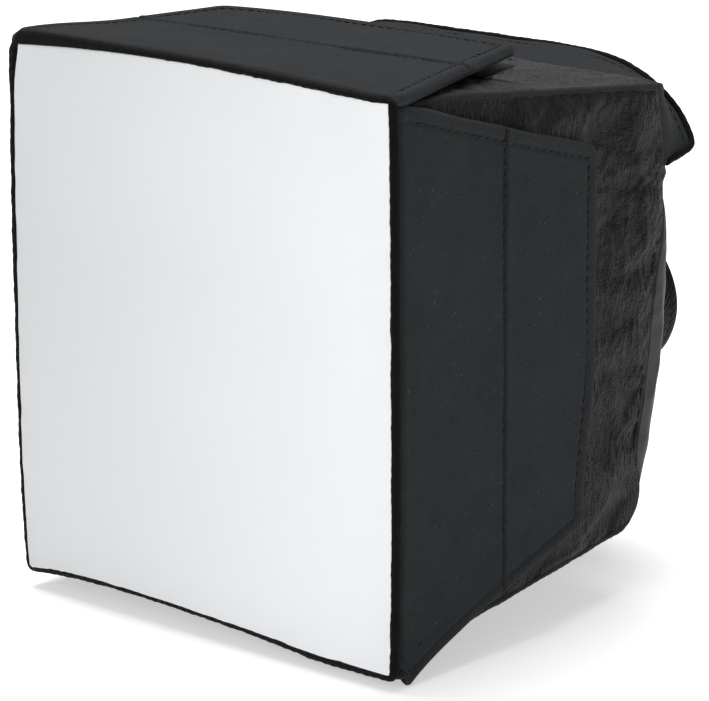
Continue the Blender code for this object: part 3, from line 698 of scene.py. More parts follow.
def frontBow(points):                               # no wire holds the frame straight, so its four edges bow
    across = points[..., 0] / front["halfWidth"]
    up = points[..., 2] / front["halfHeight"] - 1
    upRight, leftward = np.clip(1 - up ** 4, 0, 1), smooth(-across)
    moveX = -front["bow"]["left"] * upRight * leftward + front["bow"]["right"] * upRight * smooth(across)
    moveZ = 0
    for edge, sign in (("top", 1), ("bottom", -1)):
        start, span, lean = front["hump"][edge]
        hump = np.sin(np.pi * np.clip((across + start) / span, 0, 1) ** lean)
        moveZ = moveZ + front["bow"][edge] * hump * smooth(sign * up)
    fade = 1 - smooth((points[..., 1] - frontY - front["bowDepth"][0]) / front["bowDepth"][1])
    moved = points.copy()
    moved[..., 0] += moveX * fade
    moved[..., 2] += moveZ * fade
    return moved


def cornerSwell(points):                            # the top left corner is stuffed fuller than the others
    fromCorner = np.maximum(points[..., 0] + front["halfWidth"], 0) / front["swellWidth"]
    depth = (points[..., 1] - frontY) / front["swellDepth"]
    return front["swell"] * np.exp(-fromCorner ** 1.5) * (1 - smooth(depth))


def buildDiffuser():
    across, up = np.meshgrid(mix(-1, 1, graded(120, 0.5)), mix(-1, 1, graded(130, 0.5)))
    halfX, halfZ = front["halfWidth"] - front["inset"], front["halfHeight"] - front["inset"]
    bulge = front["bulge"] * (1 - np.abs(across) ** 4.5) * (1 - np.abs(up) ** 4.5)
    x, z = across * halfX, front["halfHeight"] + up * halfZ
    leftInset = front["leftInset"] + front["leftLean"] * up
    leftInset = leftInset + front["cornerInset"] * smooth((up - 0.88) / 0.12)
    x = x + (leftInset - front["inset"]) * smooth(-across)
    y = frontY - front["clothBehind"] - front["cloth"] - bulge
    edge = np.minimum((1 - np.abs(across)) * halfX, (1 - np.abs(up)) * halfZ)
    alongEdge = np.where(np.abs(across) * halfX > np.abs(up) * halfZ, z, x)
    gather, sag = front["pucker"], front["sag"]
    pucker = cloudNoise(alongEdge / gather["pitch"], edge / gather["across"], 5)
    pucker = pucker * np.exp(-edge / gather["fade"]) * gather["height"]
    soft = cloudNoise(x / sag["width"], z / sag["length"], 6) * sag["height"] * smooth(edge / sag["fade"])
    points, relief = frontBow(np.stack([x, y, z], -1)), pucker + soft
    piece = clothShell("diffuserCloth", points, relief, front["cloth"], cloth["white"], facing=(0, -1, 0))
    keep(piece, "hood", "diffuser_cloth", "front_diffuser")


def buildFrontRoll():
    roll = addObject("frontRoll", bpy.data.meshes.new("frontRoll"))
    margin = front["rollWidth"] / 2
    values = {
        "Width": 2 * (front["halfWidth"] - margin), "Height": 2 * (front["halfHeight"] - margin),
        "Corner": front["corner"], "Roll Width": front["rollWidth"], "Roll Depth": front["rollDepth"],
        "Material": cloth["tape"],
    }
    bakeTree(roll, trees["roll"], values)
    middleY = frontY + front["rollDepth"] / 2 - front["rollAhead"]
    upright = Matrix(((1, 0, 0, 0), (0, 0, -1, middleY), (0, 1, 0, front["halfHeight"]), (0, 0, 0, 1)))
    roll.data.transform(upright)
    bowed = frontBow(np.array([vert.co for vert in roll.data.vertices]))
    left, top, edge = -front["halfWidth"], 2 * front["halfHeight"], 2 * mm
    bowed[:, 2] += cornerSwell(bowed) * smooth((bowed[:, 2] - top + edge) / (3 * mm))
    bowed[:, 2] -= front["hang"] * smooth((edge - bowed[:, 2]) / (3 * mm))
    out = smooth((left + edge - bowed[:, 0]) / (2 * mm)) * smooth((bowed[:, 2] - top + 20 * mm) / (12 * mm))
    bowed[:, 0] -= front["leftBulge"] * out
    roll.data.vertices.foreach_set("co", bowed.astype(np.float32).ravel())
    keep(roll, "hood", "binding_tape", *[f"front_binding_{side}" for side in sides])
    halfX, halfZ, middleZ = front["halfWidth"] - margin, front["halfHeight"] - margin, front["halfHeight"]
    corners = [(-halfX, -halfZ), (halfX, -halfZ), (halfX, halfZ), (-halfX, halfZ)]
    corners = [np.array((x, frontY - front["seam"], middleZ + z)) for x, z in corners]
    lines = []
    for start, end in zip(corners, corners[1:] + corners[:1]):
        lines.append(frontBow(np.array([mix(start, end, share) for share in np.linspace(0.02, 0.98, 40)])))
    sew("frontRollStitches", lines, "hood", "binding_tape", 3, **front["stitches"])


buildDiffuser()
buildFrontRoll()
print("front ready")


# Wings: foam-backed pads, sewn round their edges, with a sewn fold and a strip of hook tape

wing = {
    "middle": -1.9 * mm, "hem": 1.85 * mm, "flat": 1.62 * mm, "stitchAt": 4.6 * mm, "groove": 0.42 * mm,
    "corner": 4.0 * mm, "stitch": 3.1 * mm, "dip": {"top": math.radians(-1.3)}, "bend": 2.2 * mm,
    "ahead": 3.6 * mm, "tapeLength": 20 * mm, "tapeMargin": 3.5 * mm, "backing": 0.5 * mm,
    "foot": 6.4 * mm,                               # how far the right wing's front corner hangs down
    "valley": 0.50, "ridge": 0.20 * mm, "board": 0.8 * mm, "boardStart": 9.5 * mm,
    "waves": ((26 * mm, 22 * mm, 0.28 * mm), (8 * mm, 7 * mm, 0.06 * mm)),      # across, along, height
    "peel": 2.4 * mm, "hooks": 0.75 * mm,           # how far the tape's right end hangs, its hooks' height
    "stitches": {"pitch": 3.3 * mm, "length": 2.5 * mm, "thread": 0.5 * mm},
    "rearBow": {"middle": 1.2 * mm, "right": 2.4 * mm, "left": 5.5 * mm},       # middle out, corners drawn in
    "rearSlant": {"out": 1.8 * mm, "in": 5.0 * mm, "from": 5 * mm, "over": 50 * mm},    # of the tall wings
    "wide": {"length": 73.5 * mm, "fold": 38.5 * mm, "near": 75 * mm, "far": 57.5 * mm},
    "tall": {"length": 81.5 * mm, "fold": 41.5 * mm, "near": 82.3 * mm, "far": 58 * mm},
}


def cut(side):                                      # the sizes that the wing was cut to
    return wing["wide" if side in ("top", "bottom") else "tall"]


def wingHalf(side, distance):                       # half the wing's width at a distance from its hinge
    shape = cut(side)
    return mix(shape["near"], shape["far"], np.maximum(distance, 0) / shape["length"])


def rearEdge(side, x):                              # how far the rear edge stands from a straight one
    if side in ("top", "bottom"):
        bow = wing["rearBow"]
        pulled = np.where(x > 0, bow["right"], bow["left"])
        return bow["middle"] - pulled * np.clip(np.abs(x) / cut(side)["far"], 0, 1) ** 3
    slant, up = wing["rearSlant"], x if side == "left" else -x
    return slant["out"] - slant["in"] * smooth((-up - slant["from"]) / slant["over"])


def wingFrame(side, part):                          # a matrix from the wing's own axes to the row frame
    hinge, fold = (Vector(jointOf[f"{side}_wing_{name}"]["pos_m"]) for name in ("hinge", "fold"))
    axis = Vector(jointOf[f"{side}_wing_hinge"]["axis"])
    away = fold - hinge
    away = (away - axis * away.dot(axis)).normalized()
    start = hinge
    if part == "rear":
        start = fold
        away = Matrix.Rotation(wing["dip"].get(side, 0.0), 3, axis) @ away
    return Matrix.Translation(start) @ Matrix((axis, away, axis.cross(away))).transposed().to_4x4()


def toRow(points, matrix):
    turned = np.array(matrix.to_3x3())
    return points @ turned.T + np.array(matrix.translation)


def padHalf(distance, run):                         # half the pad's thickness at a distance from its edge
    rolled = np.sqrt(np.clip(1 - (1 - np.clip(distance / wing["hem"], 0, 1)) ** 2, 0, 1))
    body = mix(wing["hem"], wing["flat"], smooth((distance - 2 * mm) / (3 * mm)))
    dimple = 0.72 + 0.28 * np.cos(2 * np.pi * run / wing["stitch"])
    return rolled * (body - wing["groove"] * dimple * bump(distance - wing["stitchAt"], 0.6 * mm))


def buildWingSection(side, part, seed):
    fold = cut(side)["fold"]
    length = fold if part == "front" else cut(side)["length"] - fold
    offset = 0.0 if part == "front" else fold
    u, v = np.meshgrid(mix(-1, 1, graded(190, 0.55)), graded(64 if part == "front" else 56, 0.6))
    y = mix(-wing["ahead"], length + 0.05 * mm, v) if part == "front" else mix(-0.05 * mm, length, v)
    fromSide = (1 - np.abs(u)) * wingHalf(side, offset + y)
    fromEnd = length - y if part == "rear" else np.full_like(y, 1.0)
    edge = np.minimum(fromSide, fromEnd)
    if part == "rear":
        corner = wing["corner"]
        inX, inY = corner - fromSide, corner - fromEnd
        pull = cornerPull(inX, inY)
        fromSide, y = corner - inX * pull, length - (corner - inY * pull)
    x = np.sign(u) * (wingHalf(side, offset + y) - fromSide)
    if side == "right":
        hanging = np.exp(-np.maximum(offset + y, 0) / (18 * mm)) * smooth((offset + y + 2.5 * mm) / (4 * mm))
        x = x + wing["foot"] * hanging * smooth(x / (70 * mm))
    run = np.where(fromEnd < fromSide, x, y)
    edgeWave = cloudNoise((offset + y) / (11 * mm), np.sign(u) + 3.5, seed) * 0.35 * mm
    edgeWave = edgeWave * np.exp(-fromSide / (5 * mm))
    half = padHalf(edge, run)
    fromFold = length - y if part == "front" else y
    valley = wing["valley"] * bump(fromFold, 0.42 * mm)
    ridge = wing["ridge"] * bump(fromFold - 1.5 * mm, 0.7 * mm) * (part == "rear")
    wave = 0
    for step, (wide, long, high) in enumerate(wing["waves"], 1):
        wave = wave + cloudNoise(x / wide, (offset + y) / long, seed + step) * high
    wave = wave * smooth(edge / (8 * mm))
    near = smooth((y + wing["ahead"]) / (2 * mm)) * 0.45 + 0.55 if part == "front" else 1.0
    upper = half * near * (1 - valley) + ridge + wave
    lower = half * near * (1 - 0.35 * valley) - wave * 0.4
    if part == "rear":
        y = y + rearEdge(side, x) * smooth(y / length)
    outer = np.stack([x + np.sign(u) * edgeWave, y, wing["middle"] + upper], -1)
    inner = np.stack([x + np.sign(u) * edgeWave, y, wing["middle"] - lower], -1)
    matrix = wingFrame(side, part)
    outward = matrix.to_3x3() @ Vector((0, 0, 1))
    outer, inner = frontBow(toRow(outer, matrix)), frontBow(toRow(inner, matrix))
    if side == "top":
        outer[..., 2] += cornerSwell(outer)
    name = f"{side}Wing{part.capitalize()}"
    piece = clothShell(f"{name}Cloth", outer, 0.0, 0.0, cloth["laminate"], facing=outward, inner=inner)
    body, before = f"{side}_wing_{part}", "hood" if part == "front" else f"{side}_wing_front"
    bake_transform(piece)
    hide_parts(f"{side}_wing_{part}_cover")
    return matrix, body, name, length, offset


def buildBoard(side, part, matrix, body, name, length, offset):
    inset = wing["stitchAt"] + 0.8 * mm
    u, v = np.meshgrid(np.linspace(-1, 1, 50), np.linspace(0, 1, 24))
    y = mix(wing["boardStart"], length - 1 * mm, v) if part == "front" else mix(1 * mm, length - inset, v)
    x = u * (wingHalf(side, offset + y) - inset)
    points = frontBow(toRow(np.stack([x, y, np.full_like(x, wing["middle"] + 0.4 * mm)], -1), matrix))
    outward = matrix.to_3x3() @ Vector((0, 0, 1))
    board = clothShell(f"{name}Board", points, 0.0, wing["board"], cloth["board"], facing=outward)
    keep(board, body, "stiffener_board", f"{side}_wing_{part}_board")


def seamLines(side, part, length, offset):          # both long edges, then the rear edge or the fold
    hem, height = wing["stitchAt"], wing["middle"] + wing["flat"] - 0.10 * mm
    begin, end = (wing["bend"] + 3 * mm, length - 0.8 * mm) if part == "front" else (1.5 * mm, length - hem)
    lines = []
    for sign in (-1, 1):
        y = np.linspace(begin, end, 30)
        lines.append((sign * (wingHalf(side, offset + y) - hem), y, height))
    if part == "rear":
        reach, y = wingHalf(side, offset + end) - hem, end
    else:
        reach, y = wingHalf(side, length) - 1.5 * mm, length - 0.5 * mm
        height = wing["middle"] + wing["flat"] * 0.90
    lines.append((np.linspace(-reach, reach, 60), np.full(60, y), height))
    if part == "rear":
        lines = [(x, y + rearEdge(side, x) * smooth(y / length), height) for x, y, height in lines]
    return [np.stack([x, y, np.full_like(x, height)], -1) for x, y, height in lines]


def buildWing(side, seed):
    for part in ("front", "rear"):
        matrix, body, name, length, offset = buildWingSection(side, part, seed)
        buildBoard(side, part, matrix, body, name, length, offset)
        lines = [frontBow(toRow(line, matrix)) for line in seamLines(side, part, length, offset)]
        if side == "top":
            lines = [line + cornerSwell(line)[:, None] * np.array((0, 0, 1)) for line in lines]
        sew(f"{name}Stitches", lines, body, "wing_cloth", seed, **wing["stitches"])
        seed += 7
    buildHookTape(side, seed)


def buildHookTape(side, seed):
    matrix = wingFrame(side, "rear")
    fold = cut(side)["fold"]
    end = cut(side)["length"] - fold - wing["tapeMargin"]
    start = end - wing["tapeLength"]
    u, v = np.meshgrid(np.linspace(-1, 1, 90), np.linspace(0, 1, 16))
    y = mix(start, end, v)
    loose, peel = wing["tapeMargin"], 0.0
    # Partly painted shade: the top tape's right end is brought out to the corner and hung down, so the dark
    # tape and hooks fill the wedge under the lifted corner, which is partly shade and partly hooks.
    if side == "top":                               # its right end reaches the corner and hangs a little
        loose = mix(wing["tapeMargin"], 0.5 * mm, smooth(u / 0.3))
    x = u * (wingHalf(side, fold + y) - loose)
    if side == "top":
        peel = wing["peel"] * smooth((x - 36 * mm) / (18 * mm))
    face = np.full_like(x, wing["middle"] - wing["flat"] - 0.1 * mm - wing["backing"])
    points = toRow(np.stack([x, y, face - peel], -1), matrix)
    inward = matrix.to_3x3() @ Vector((0, 0, -1))
    tape = clothShell(f"{side}HookTape", points, 0.0, wing["backing"], cloth["hook"], facing=inward)
    body = f"{side}_wing_rear"
    keep(tape, body, "hook_tape", f"{side}_wing_hook_tape")
    growHooks(f"{side}Hooks", gridMesh(f"{side}Hooks", points, inward), body, wing["hooks"], seed)


for number, side in enumerate(sides):
    buildWing(side, 10 + 20 * number)
print("wings ready")


# Hood: four panels of loop cloth, lined with silver, over a flared box

hood = {                                            # depths from the front face of the binding
    "start": 5.3 * mm, "frontHalf": 71.5 * mm, "rearHalf": 72.9 * mm, "fullAt": 58 * mm,
    "frontTop": 166.5 * mm, "rearTop": 155 * mm, "topBreak": 28 * mm, "seam": 126 * mm,
    "frontBottom": 3.5 * mm, "rearBottom": 18.0 * mm, "bottomBreak": 40 * mm, "bottomSlope": 0.124,
    "cornerAt": 120.3 * mm, "cornerRadius": 12 * mm, "cornerTurn": math.radians(60), "cornerShare": 0.2,
    "bow": 9.6 * mm, "belly": 2.6 * mm, "arch": 2 * mm, "archStart": 85 * mm,
    "cloth": 1.5 * mm, "edge": 1.2 * mm, "lining": 0.5 * mm, "liningIn": 1.9 * mm, "liningReach": 0.92,
    "piping": 1.25 * mm, "hem": 6 * mm, "hemLeast": 1.2 * mm, "hemTop": 128.5 * mm, "hemTrim": 2.7 * mm,
    "trim": 9.4 * mm,                               # how far the side panels are cut back to show the hems
    "sideFlat": 152 * mm, "topFlat": 122 * mm, "bottomFlat": 126 * mm,
    "broad": (31 * mm, 27 * mm, 0.55 * mm),         # width, length and height of the swells in the cloth,
    "folds": (6.5 * mm, 17 * mm, 0.55 * mm),        # of its folds
    "fine": (2.3 * mm, 7.0 * mm, 0.42 * mm),        # and of its fine creases
    "grooves": {"side": 0.35 * mm, "top": 0.40 * mm, "width": 0.8 * mm},        # along the rear seams
    "wingEnd": 61.5 * mm, "pressed": 0.25,          # under the wing the folds are pressed down to this share
    "sideStitches": {"pitch": 2.6 * mm, "length": 1.8 * mm, "thread": 0.34 * mm},
    "sideSlack": {"pressure": 0.6, "slack": 0.018, "cap": 3 * mm},
    "topSlack": {"pressure": 0.5, "slack": 0.012, "cap": 2 * mm},
}


def hoodHalf(y):
    share = np.clip((y - hood["start"]) / (hood["fullAt"] - hood["start"]), 0, 1)
    return mix(hood["frontHalf"], hood["rearHalf"], share)


def hoodTop(y):
    share = np.maximum((y - hood["topBreak"]) / (hood["seam"] - hood["topBreak"]), 0)
    return mix(hood["frontTop"], hood["rearTop"], share)


def hoodBottom(y):
    rear = hood["rearBottom"] - hood["bottomSlope"] * (hood["cornerAt"] - y)
    at = hood["rearBottom"] - hood["bottomSlope"] * (hood["cornerAt"] - hood["bottomBreak"])
    lead = mix(hood["frontBottom"], at, (y - hood["start"]) / (hood["bottomBreak"] - hood["start"]))
    return np.where(y >= hood["bottomBreak"], rear, lead)


def hoodArch(y, across):                            # the top panel rises in its middle towards the awning
    rise = smooth((y - hood["archStart"]) / (hood["seam"] - hood["archStart"]))
    return hood["arch"] * rise * (1 - across ** 2)


def topLine(share):
    y = mix(hood["start"], hood["seam"], share)
    return y, hoodTop(y)


def bottomLine(share):
    arcY = hood["cornerAt"] - hood["cornerRadius"]
    arcFrom = 1 - hood["cornerShare"]
    straight = mix(hood["start"], arcY, np.minimum(share, arcFrom) / arcFrom)
    angle = np.clip((share - arcFrom) / hood["cornerShare"], 0, 1) * hood["cornerTurn"]
    y = straight + hood["cornerRadius"] * np.sin(angle)
    return y, hoodBottom(straight) + hood["cornerRadius"] * (1 - np.cos(angle))


def sidePoint(along, up, trim, rearTrim=0.0):
    yLow, zLow = bottomLine(along)
    yHigh, zHigh = topLine(along)
    lost = trim / (zHigh - zLow)
    share = mix(lost, 1 - lost, up)
    z = mix(zLow, zHigh, share)
    notch = 0.24                                    # the share of the cut made at once under the awning
    below = notch * smooth((127 * mm - z) / (4 * mm)) + (1 - notch) * smooth((126 * mm - z) / (42 * mm))
    above = smooth((z - 26 * mm) / (18 * mm))
    y = mix(yLow, yHigh, share) - rearTrim * below * above * smooth(along)      # the cut that shows the hem
    y = y + hood["bow"] * 4 * up * (1 - up) * along ** 3
    belly = smooth((136 * mm - z) / (34 * mm)) * smooth((z - 27 * mm) / (16 * mm))
    y = y + hood["belly"] * belly * along ** 3
    return hoodHalf(y), y, z


def rearPoint(up, trim=0.0):                        # on the rear edge, where hems and rear panels start
    return sidePoint(np.ones_like(up), up, hood["hemTrim"], trim)


def hemRadius(z):                                   # the hem narrows to nothing much above the bottom corner
    return mix(hood["hemLeast"], hood["hem"], smooth((z - 28 * mm) / (16 * mm)))


def rimAt(z):                                       # how far up the hood's rear edge a height is
    low, high = (rearPoint(np.array(end))[2] for end in (0.0, 1.0))
    return (z - low) / (high - low)


def crinkle(x, y, seed, amount):                    # the small creases of a cloth that has often been folded
    wide, long, high = hood["broad"]
    broad = cloudNoise(x / wide, y / long, seed) * high
    wide, long, high = hood["folds"]
    folds = creases((x + 0.2 * y) / wide, y / long, seed + 1) * high
    wide, long, high = hood["fine"]
    fine = creases(x / wide, y / long, seed + 3, 1.6) * high
    return broad + amount * (folds + fine)


def clothSimulated(points, outward, pressure, slack, cap, frames=18):
    # Lets a slack sheet, held at its edges, find its own buckles. Returns how far each point moved outwards.
    rows, columns = points.shape[:2]
    index = np.arange(rows * columns).reshape(rows, columns)
    sheet = addObject("slackCloth", gridMesh("slackCloth", points, outward))
    held = sheet.vertex_groups.new(name="held")
    held.add(np.concatenate([index[0], index[-1], index[:, 0], index[:, -1]]).tolist(), 1.0, "REPLACE")
    simulated = sheet.modifiers.new("Cloth", "CLOTH")
    settings = simulated.settings
    settings.quality, settings.mass = 6, 0.25
    settings.tension_stiffness = settings.compression_stiffness = 18
    settings.bending_stiffness = 0.35
    settings.vertex_group_mass = "held"
    settings.shrink_min = -slack
    settings.use_pressure = True
    settings.uniform_pressure_force = pressure
    settings.effector_weights.gravity = 0
    simulated.collision_settings.use_collision = False
    scene = bpy.context.scene
    for step in range(1, frames + 1):
        scene.frame_set(step)
    evaluated = sheet.evaluated_get(bpy.context.evaluated_depsgraph_get())
    moved = np.array([vert.co for vert in evaluated.data.vertices]).reshape(rows, columns, 3)
    scene.frame_set(1)
    bpy.data.objects.remove(sheet)
    return np.clip((moved - points) @ np.array(outward), -cap, cap)


def finer(grid, rows, columns):                     # a coarse grid of heights, smoothly read at more points
    def along(values, count):
        spot = np.linspace(0, len(values) - 1, count)
        base = np.clip(spot.astype(int), 0, len(values) - 2)
        t = (spot - base)[:, None]
        last = len(values) - 1
        a, b, c, d = (values[np.clip(base + step, 0, last)] for step in (-1, 0, 1, 2))
        return b + 0.5 * t * (c - a + t * (2 * a - 5 * b + 4 * c - d + t * (3 * (b - c) + d - a)))
    return along(along(grid, rows).T, columns).T


def addLining(name, node, points, pitches, seed, facing):    # silver cloth with small creases, behind a panel
    first, second = (points[..., axis] / pitch for axis, pitch in pitches)
    wrinkle = creases(first, second, seed) * -0.6 * mm
    lining = clothShell(name, points, wrinkle, hood["lining"], cloth["silver"], facing=facing)
    keep(lining, "hood", "silver_lining", node)


def sidePoints(rows, columns, sign, inset=0.0, trim=hood["edge"], rearTrim=0.0, reach=1.0):
    along, up = np.meshgrid(np.linspace(0, reach, columns), np.linspace(0, 1, rows))
    x, y, z = sidePoint(along, up, trim, rearTrim)
    return np.stack([sign * (x - inset), y + frontY, z], -1), along, up


def buildHoodSide(side, sign, seed):
    name, facing = f"hood{side.capitalize()}", (sign, 0, 0)
    coarse = sidePoints(64, 50, sign)[0]
    buckles = clothSimulated(coarse, facing, **hood["sideSlack"])
    rows, columns = 200, 156
    points, along, up = sidePoints(rows, columns, sign, rearTrim=hood["trim"])
    y, z = points[..., 1], points[..., 2]
    ridge, fromRear = np.minimum(up, 1 - up) * 0.14, 1 - along
    worn = smooth((along - 0.40) / 0.35) * smooth((up - 0.25) / 0.3) * (1 - smooth((up - 0.78) / 0.12))
    relief = crinkle(y, z, seed, 0.40 + 0.60 * worn)
    relief *= smooth(ridge / (6 * mm)) * smooth(fromRear * 0.12 / (3 * mm))
    relief += cloudNoise(y / (3.2 * mm), z / (9 * mm), seed + 9) * np.exp(-ridge / (4 * mm)) * 0.18 * mm
    relief -= hood["grooves"]["side"] * bump(fromRear * 0.118 - 2.6 * mm, hood["grooves"]["width"])
    underWing = smooth((hood["wingEnd"] - (y - frontY)) / (10 * mm))
    relief = (relief + finer(buckles, rows, columns)) * mix(1.0, hood["pressed"], underWing) - 0.25 * mm
    taut = smooth((along - 0.78) / 0.15) * (1 - smooth((z - 31 * mm) / (16 * mm)))
    relief *= 1 - taut                              # no creases round the lower rear corner
    # the side panels take the darker copy of the loop knit, painted shade
    piece = clothShell(f"{name}Panel", points, relief, hood["cloth"], cloth["loopPaintedShade"], facing=facing)
    keep(piece, "hood", "loop_cloth", f"hood_{side}_panel")
    lined = sidePoints(70, 56, sign, inset=hood["liningIn"], trim=3 * mm, reach=hood["liningReach"])[0]
    addLining(f"{name}Lining", f"hood_{side}_lining", lined, ((1, 9 * mm), (2, 13 * mm)), seed + 5, facing)
    x, y, z = sidePoint(np.full(80, 0.985), np.linspace(0.03, 0.97, 80), hood["edge"], hood["trim"])
    line = np.stack([sign * (x - 0.35 * mm), y + frontY, z], -1)
    sew(f"{name}RearStitches", [line], "hood", "loop_cloth", seed, **hood["sideStitches"])


def topPoints(rows, columns, inset, trim, rearY):
    across, along = np.meshgrid(np.linspace(-1, 1, columns), np.linspace(0, 1, rows))
    y = mix(hood["start"], rearY, along)
    x, z = across * (hoodHalf(y) - trim), hoodTop(y) + hoodArch(y, across) - inset
    return np.stack([x, y + frontY, z], -1), across, along


def bottomPoints(rows, columns, inset, trim):
    across, along = np.meshgrid(np.linspace(-1, 1, columns), np.linspace(0, 1, rows))
    y, z = bottomLine(along)
    step = 0.01
    before, after = bottomLine(np.maximum(along - step, 0)), bottomLine(np.minimum(along + step, 1))
    runY, runZ = after[0] - before[0], after[1] - before[1]
    size = np.hypot(runY, runZ)
    x = across * (hoodHalf(y) - trim)
    return np.stack([x, y + frontY - runZ / size * inset, z + runY / size * inset], -1), across, along


def flatEnough(across, along):                      # creases die out at the ridges and at the front edge
    edge = (1 - np.abs(across)) * hood["rearHalf"]
    return smooth(edge / (5 * mm)) * smooth((along - 0.02) / 0.06)


def buildHoodTop():
    rows, columns, facing = 150, 170, (0, 0, 1)
    coarse = topPoints(44, 50, 0.0, hood["edge"], hood["seam"])[0]
    buckles = clothSimulated(coarse, facing, **hood["topSlack"])
    points, across, along = topPoints(rows, columns, 0.0, hood["edge"], hood["seam"])
    relief = crinkle(points[..., 0], points[..., 1], 71, 0.5) * flatEnough(across, along)
    fromSeam = (1 - along) * (hood["seam"] - hood["start"])
    relief -= hood["grooves"]["top"] * bump(fromSeam - 3 * mm, hood["grooves"]["width"])
    relief = relief + finer(buckles, rows, columns) - 0.3 * mm
    piece = clothShell("hoodTopPanel", points, relief, hood["cloth"], cloth["loop"], facing=facing)
    keep(piece, "hood", "loop_cloth", "hood_top_panel")
    seamY = hood["seam"] - 3 * mm
    lined = topPoints(50, 60, 2.1 * mm, 4 * mm, seamY)[0]
    addLining("hoodTopLining", "hood_top_lining", lined, ((0, 11 * mm), (1, 9 * mm)), 75, facing)
    x = np.linspace(-0.069, 0.069, 90)
    z = hoodTop(seamY) + hoodArch(seamY, x / 0.0717) - 0.45 * mm
    sew("hoodTopRearStitches", [np.stack([x, np.full(90, seamY + frontY), z], -1)], "hood", "loop_cloth", 73)


def buildHoodBottom():
    facing = (0, 0, -1)
    points, across, along = bottomPoints(150, 150, 0.0, hood["edge"])
    relief = crinkle(points[..., 0], along * 0.128, 81, 0.6) * flatEnough(across, along) - 0.3 * mm
    piece = clothShell("hoodBottomPanel", points, relief, hood["cloth"], cloth["loop"], facing=facing)
    keep(piece, "hood", "loop_cloth", "hood_bottom_panel")
    lined = bottomPoints(60, 60, 2.0 * mm, 4 * mm)[0]
    addLining("hoodBottomLining", "hood_bottom_lining", lined, ((0, 11 * mm), (1, 9 * mm)), 85, facing)


def ropeAlong(name, line, radius, material, seed, sidesRound=12, lump=0.12):
    # A round cloth-covered cord along a line of points, slightly uneven, with closed ends.
    line = np.array(line)
    run = np.concatenate([[0], np.cumsum(np.linalg.norm(np.diff(line, axis=0), axis=1))])
    count = max(int(run[-1] / (0.9 * mm)), 8)
    spots = np.linspace(0, run[-1], count)
    centre = np.stack([np.interp(spots, run, line[:, axis]) for axis in range(3)], -1)
    tangent = np.gradient(centre, axis=0)
    tangent /= np.linalg.norm(tangent, axis=1, keepdims=True)
    first, guide = [], np.array((0.31, 0.52, 0.80))
    for way in tangent:                             # the ring is carried along without twisting
        guide = guide - way * (guide @ way)
        guide /= np.linalg.norm(guide)
        first.append(guide)
    first = np.array(first)
    second = np.cross(first, tangent)
    angle = np.linspace(0, 2 * np.pi, sidesRound, endpoint=False)
    turn, place = np.meshgrid(angle, spots)
    swell = 1 + lump * cloudNoise(place / (4 * mm), turn / np.pi * 2, seed)
    swell = swell + 0.04 * np.cos(2 * np.pi * place / (3.1 * mm))
    around = np.cos(turn)[..., None] * first[:, None] + np.sin(turn)[..., None] * second[:, None]
    points = centre[:, None] + around * (radius * swell)[..., None]
    index = np.arange(count * sidesRound).reshape(count, sidesRound)
    after = np.roll(index, -1, 1)
    quads = np.stack([index[:-1], index[1:], after[1:], after[:-1]], -1).reshape(-1, 4).tolist()
    faces = quads + [index[0].tolist(), index[-1][::-1].tolist()]
    mesh = bpy.data.meshes.new(name)
    mesh.from_pydata(points.reshape(-1, 3).tolist(), [], faces)
    ensureOutward(mesh, Vector(centre[count // 2]), index[count // 2])
    mesh.shade_smooth()
    mesh.materials.append(material)
    return addObject(name, mesh)


def ensureOutward(mesh, centre, ring):              # turns a tube whose faces look inwards
    inward = 0
    members = set(int(i) for i in ring)
    for face in mesh.polygons:
        if members & set(face.vertices):
            inward += 1 if face.normal.dot(face.center - centre) < 0 else -1
    if inward > 0:
        mesh.flip_normals()


def buildPiping():
    radius = hood["piping"]
    inset = radius - 0.1 * mm
    y, z = topLine(np.linspace(0.004, 0.996, 60))
    for side, sign in (("right", 1), ("left", -1)):
        upper = np.stack([sign * (hoodHalf(y) - inset), y + frontY, z - inset], -1)
        lower = bottomPoints(60, 3, inset, inset)[0][:, 2 if sign > 0 else 0]
        for level, line in (("top", upper), ("bottom", lower[1:])):
            name, seed = f"{level}{side.capitalize()}Piping", len(side) + len(level)
            cord = ropeAlong(name, line, radius, cloth["laminate"], seed)
            keep(cord, "hood", "binding_tape", f"ridge_piping_{level}_{side}")


buildHoodSide("right", 1, 51)
buildHoodSide("left", -1, 61)
buildHoodTop()
buildHoodBottom()
buildPiping()
print("hood ready")


# Rear face: satin hems and panels that close the hood down to the neck

rear = {
    "cloth": 1.4 * mm, "hemCloth": 1.2 * mm, "awningCloth": 1.6 * mm, "collar": 1.6 * mm,
    "neckStart": 134 * mm, "neckEnd": 166 * mm, "neckHalfX": 39 * mm, "neckHalfZ": 28 * mm,
    "neckZ": 77 * mm, "neckRadius": 15 * mm, "collarOverlap": 0.8 * mm,
    "strap": 1.4 * mm, "strapWidth": 25 * mm, "strapRows": 30, "gap": 0.3 * mm, "around": 260,
    "bow": 11 * mm, "bowAt": -2 * mm, "bowHalf": 21 * mm,
    "strapSeams": (0.10, 0.90),                     # shares of the strap's width
    "strapStitches": {"pitch": 2.8 * mm, "length": 1.9 * mm, "thread": 0.38 * mm},
}


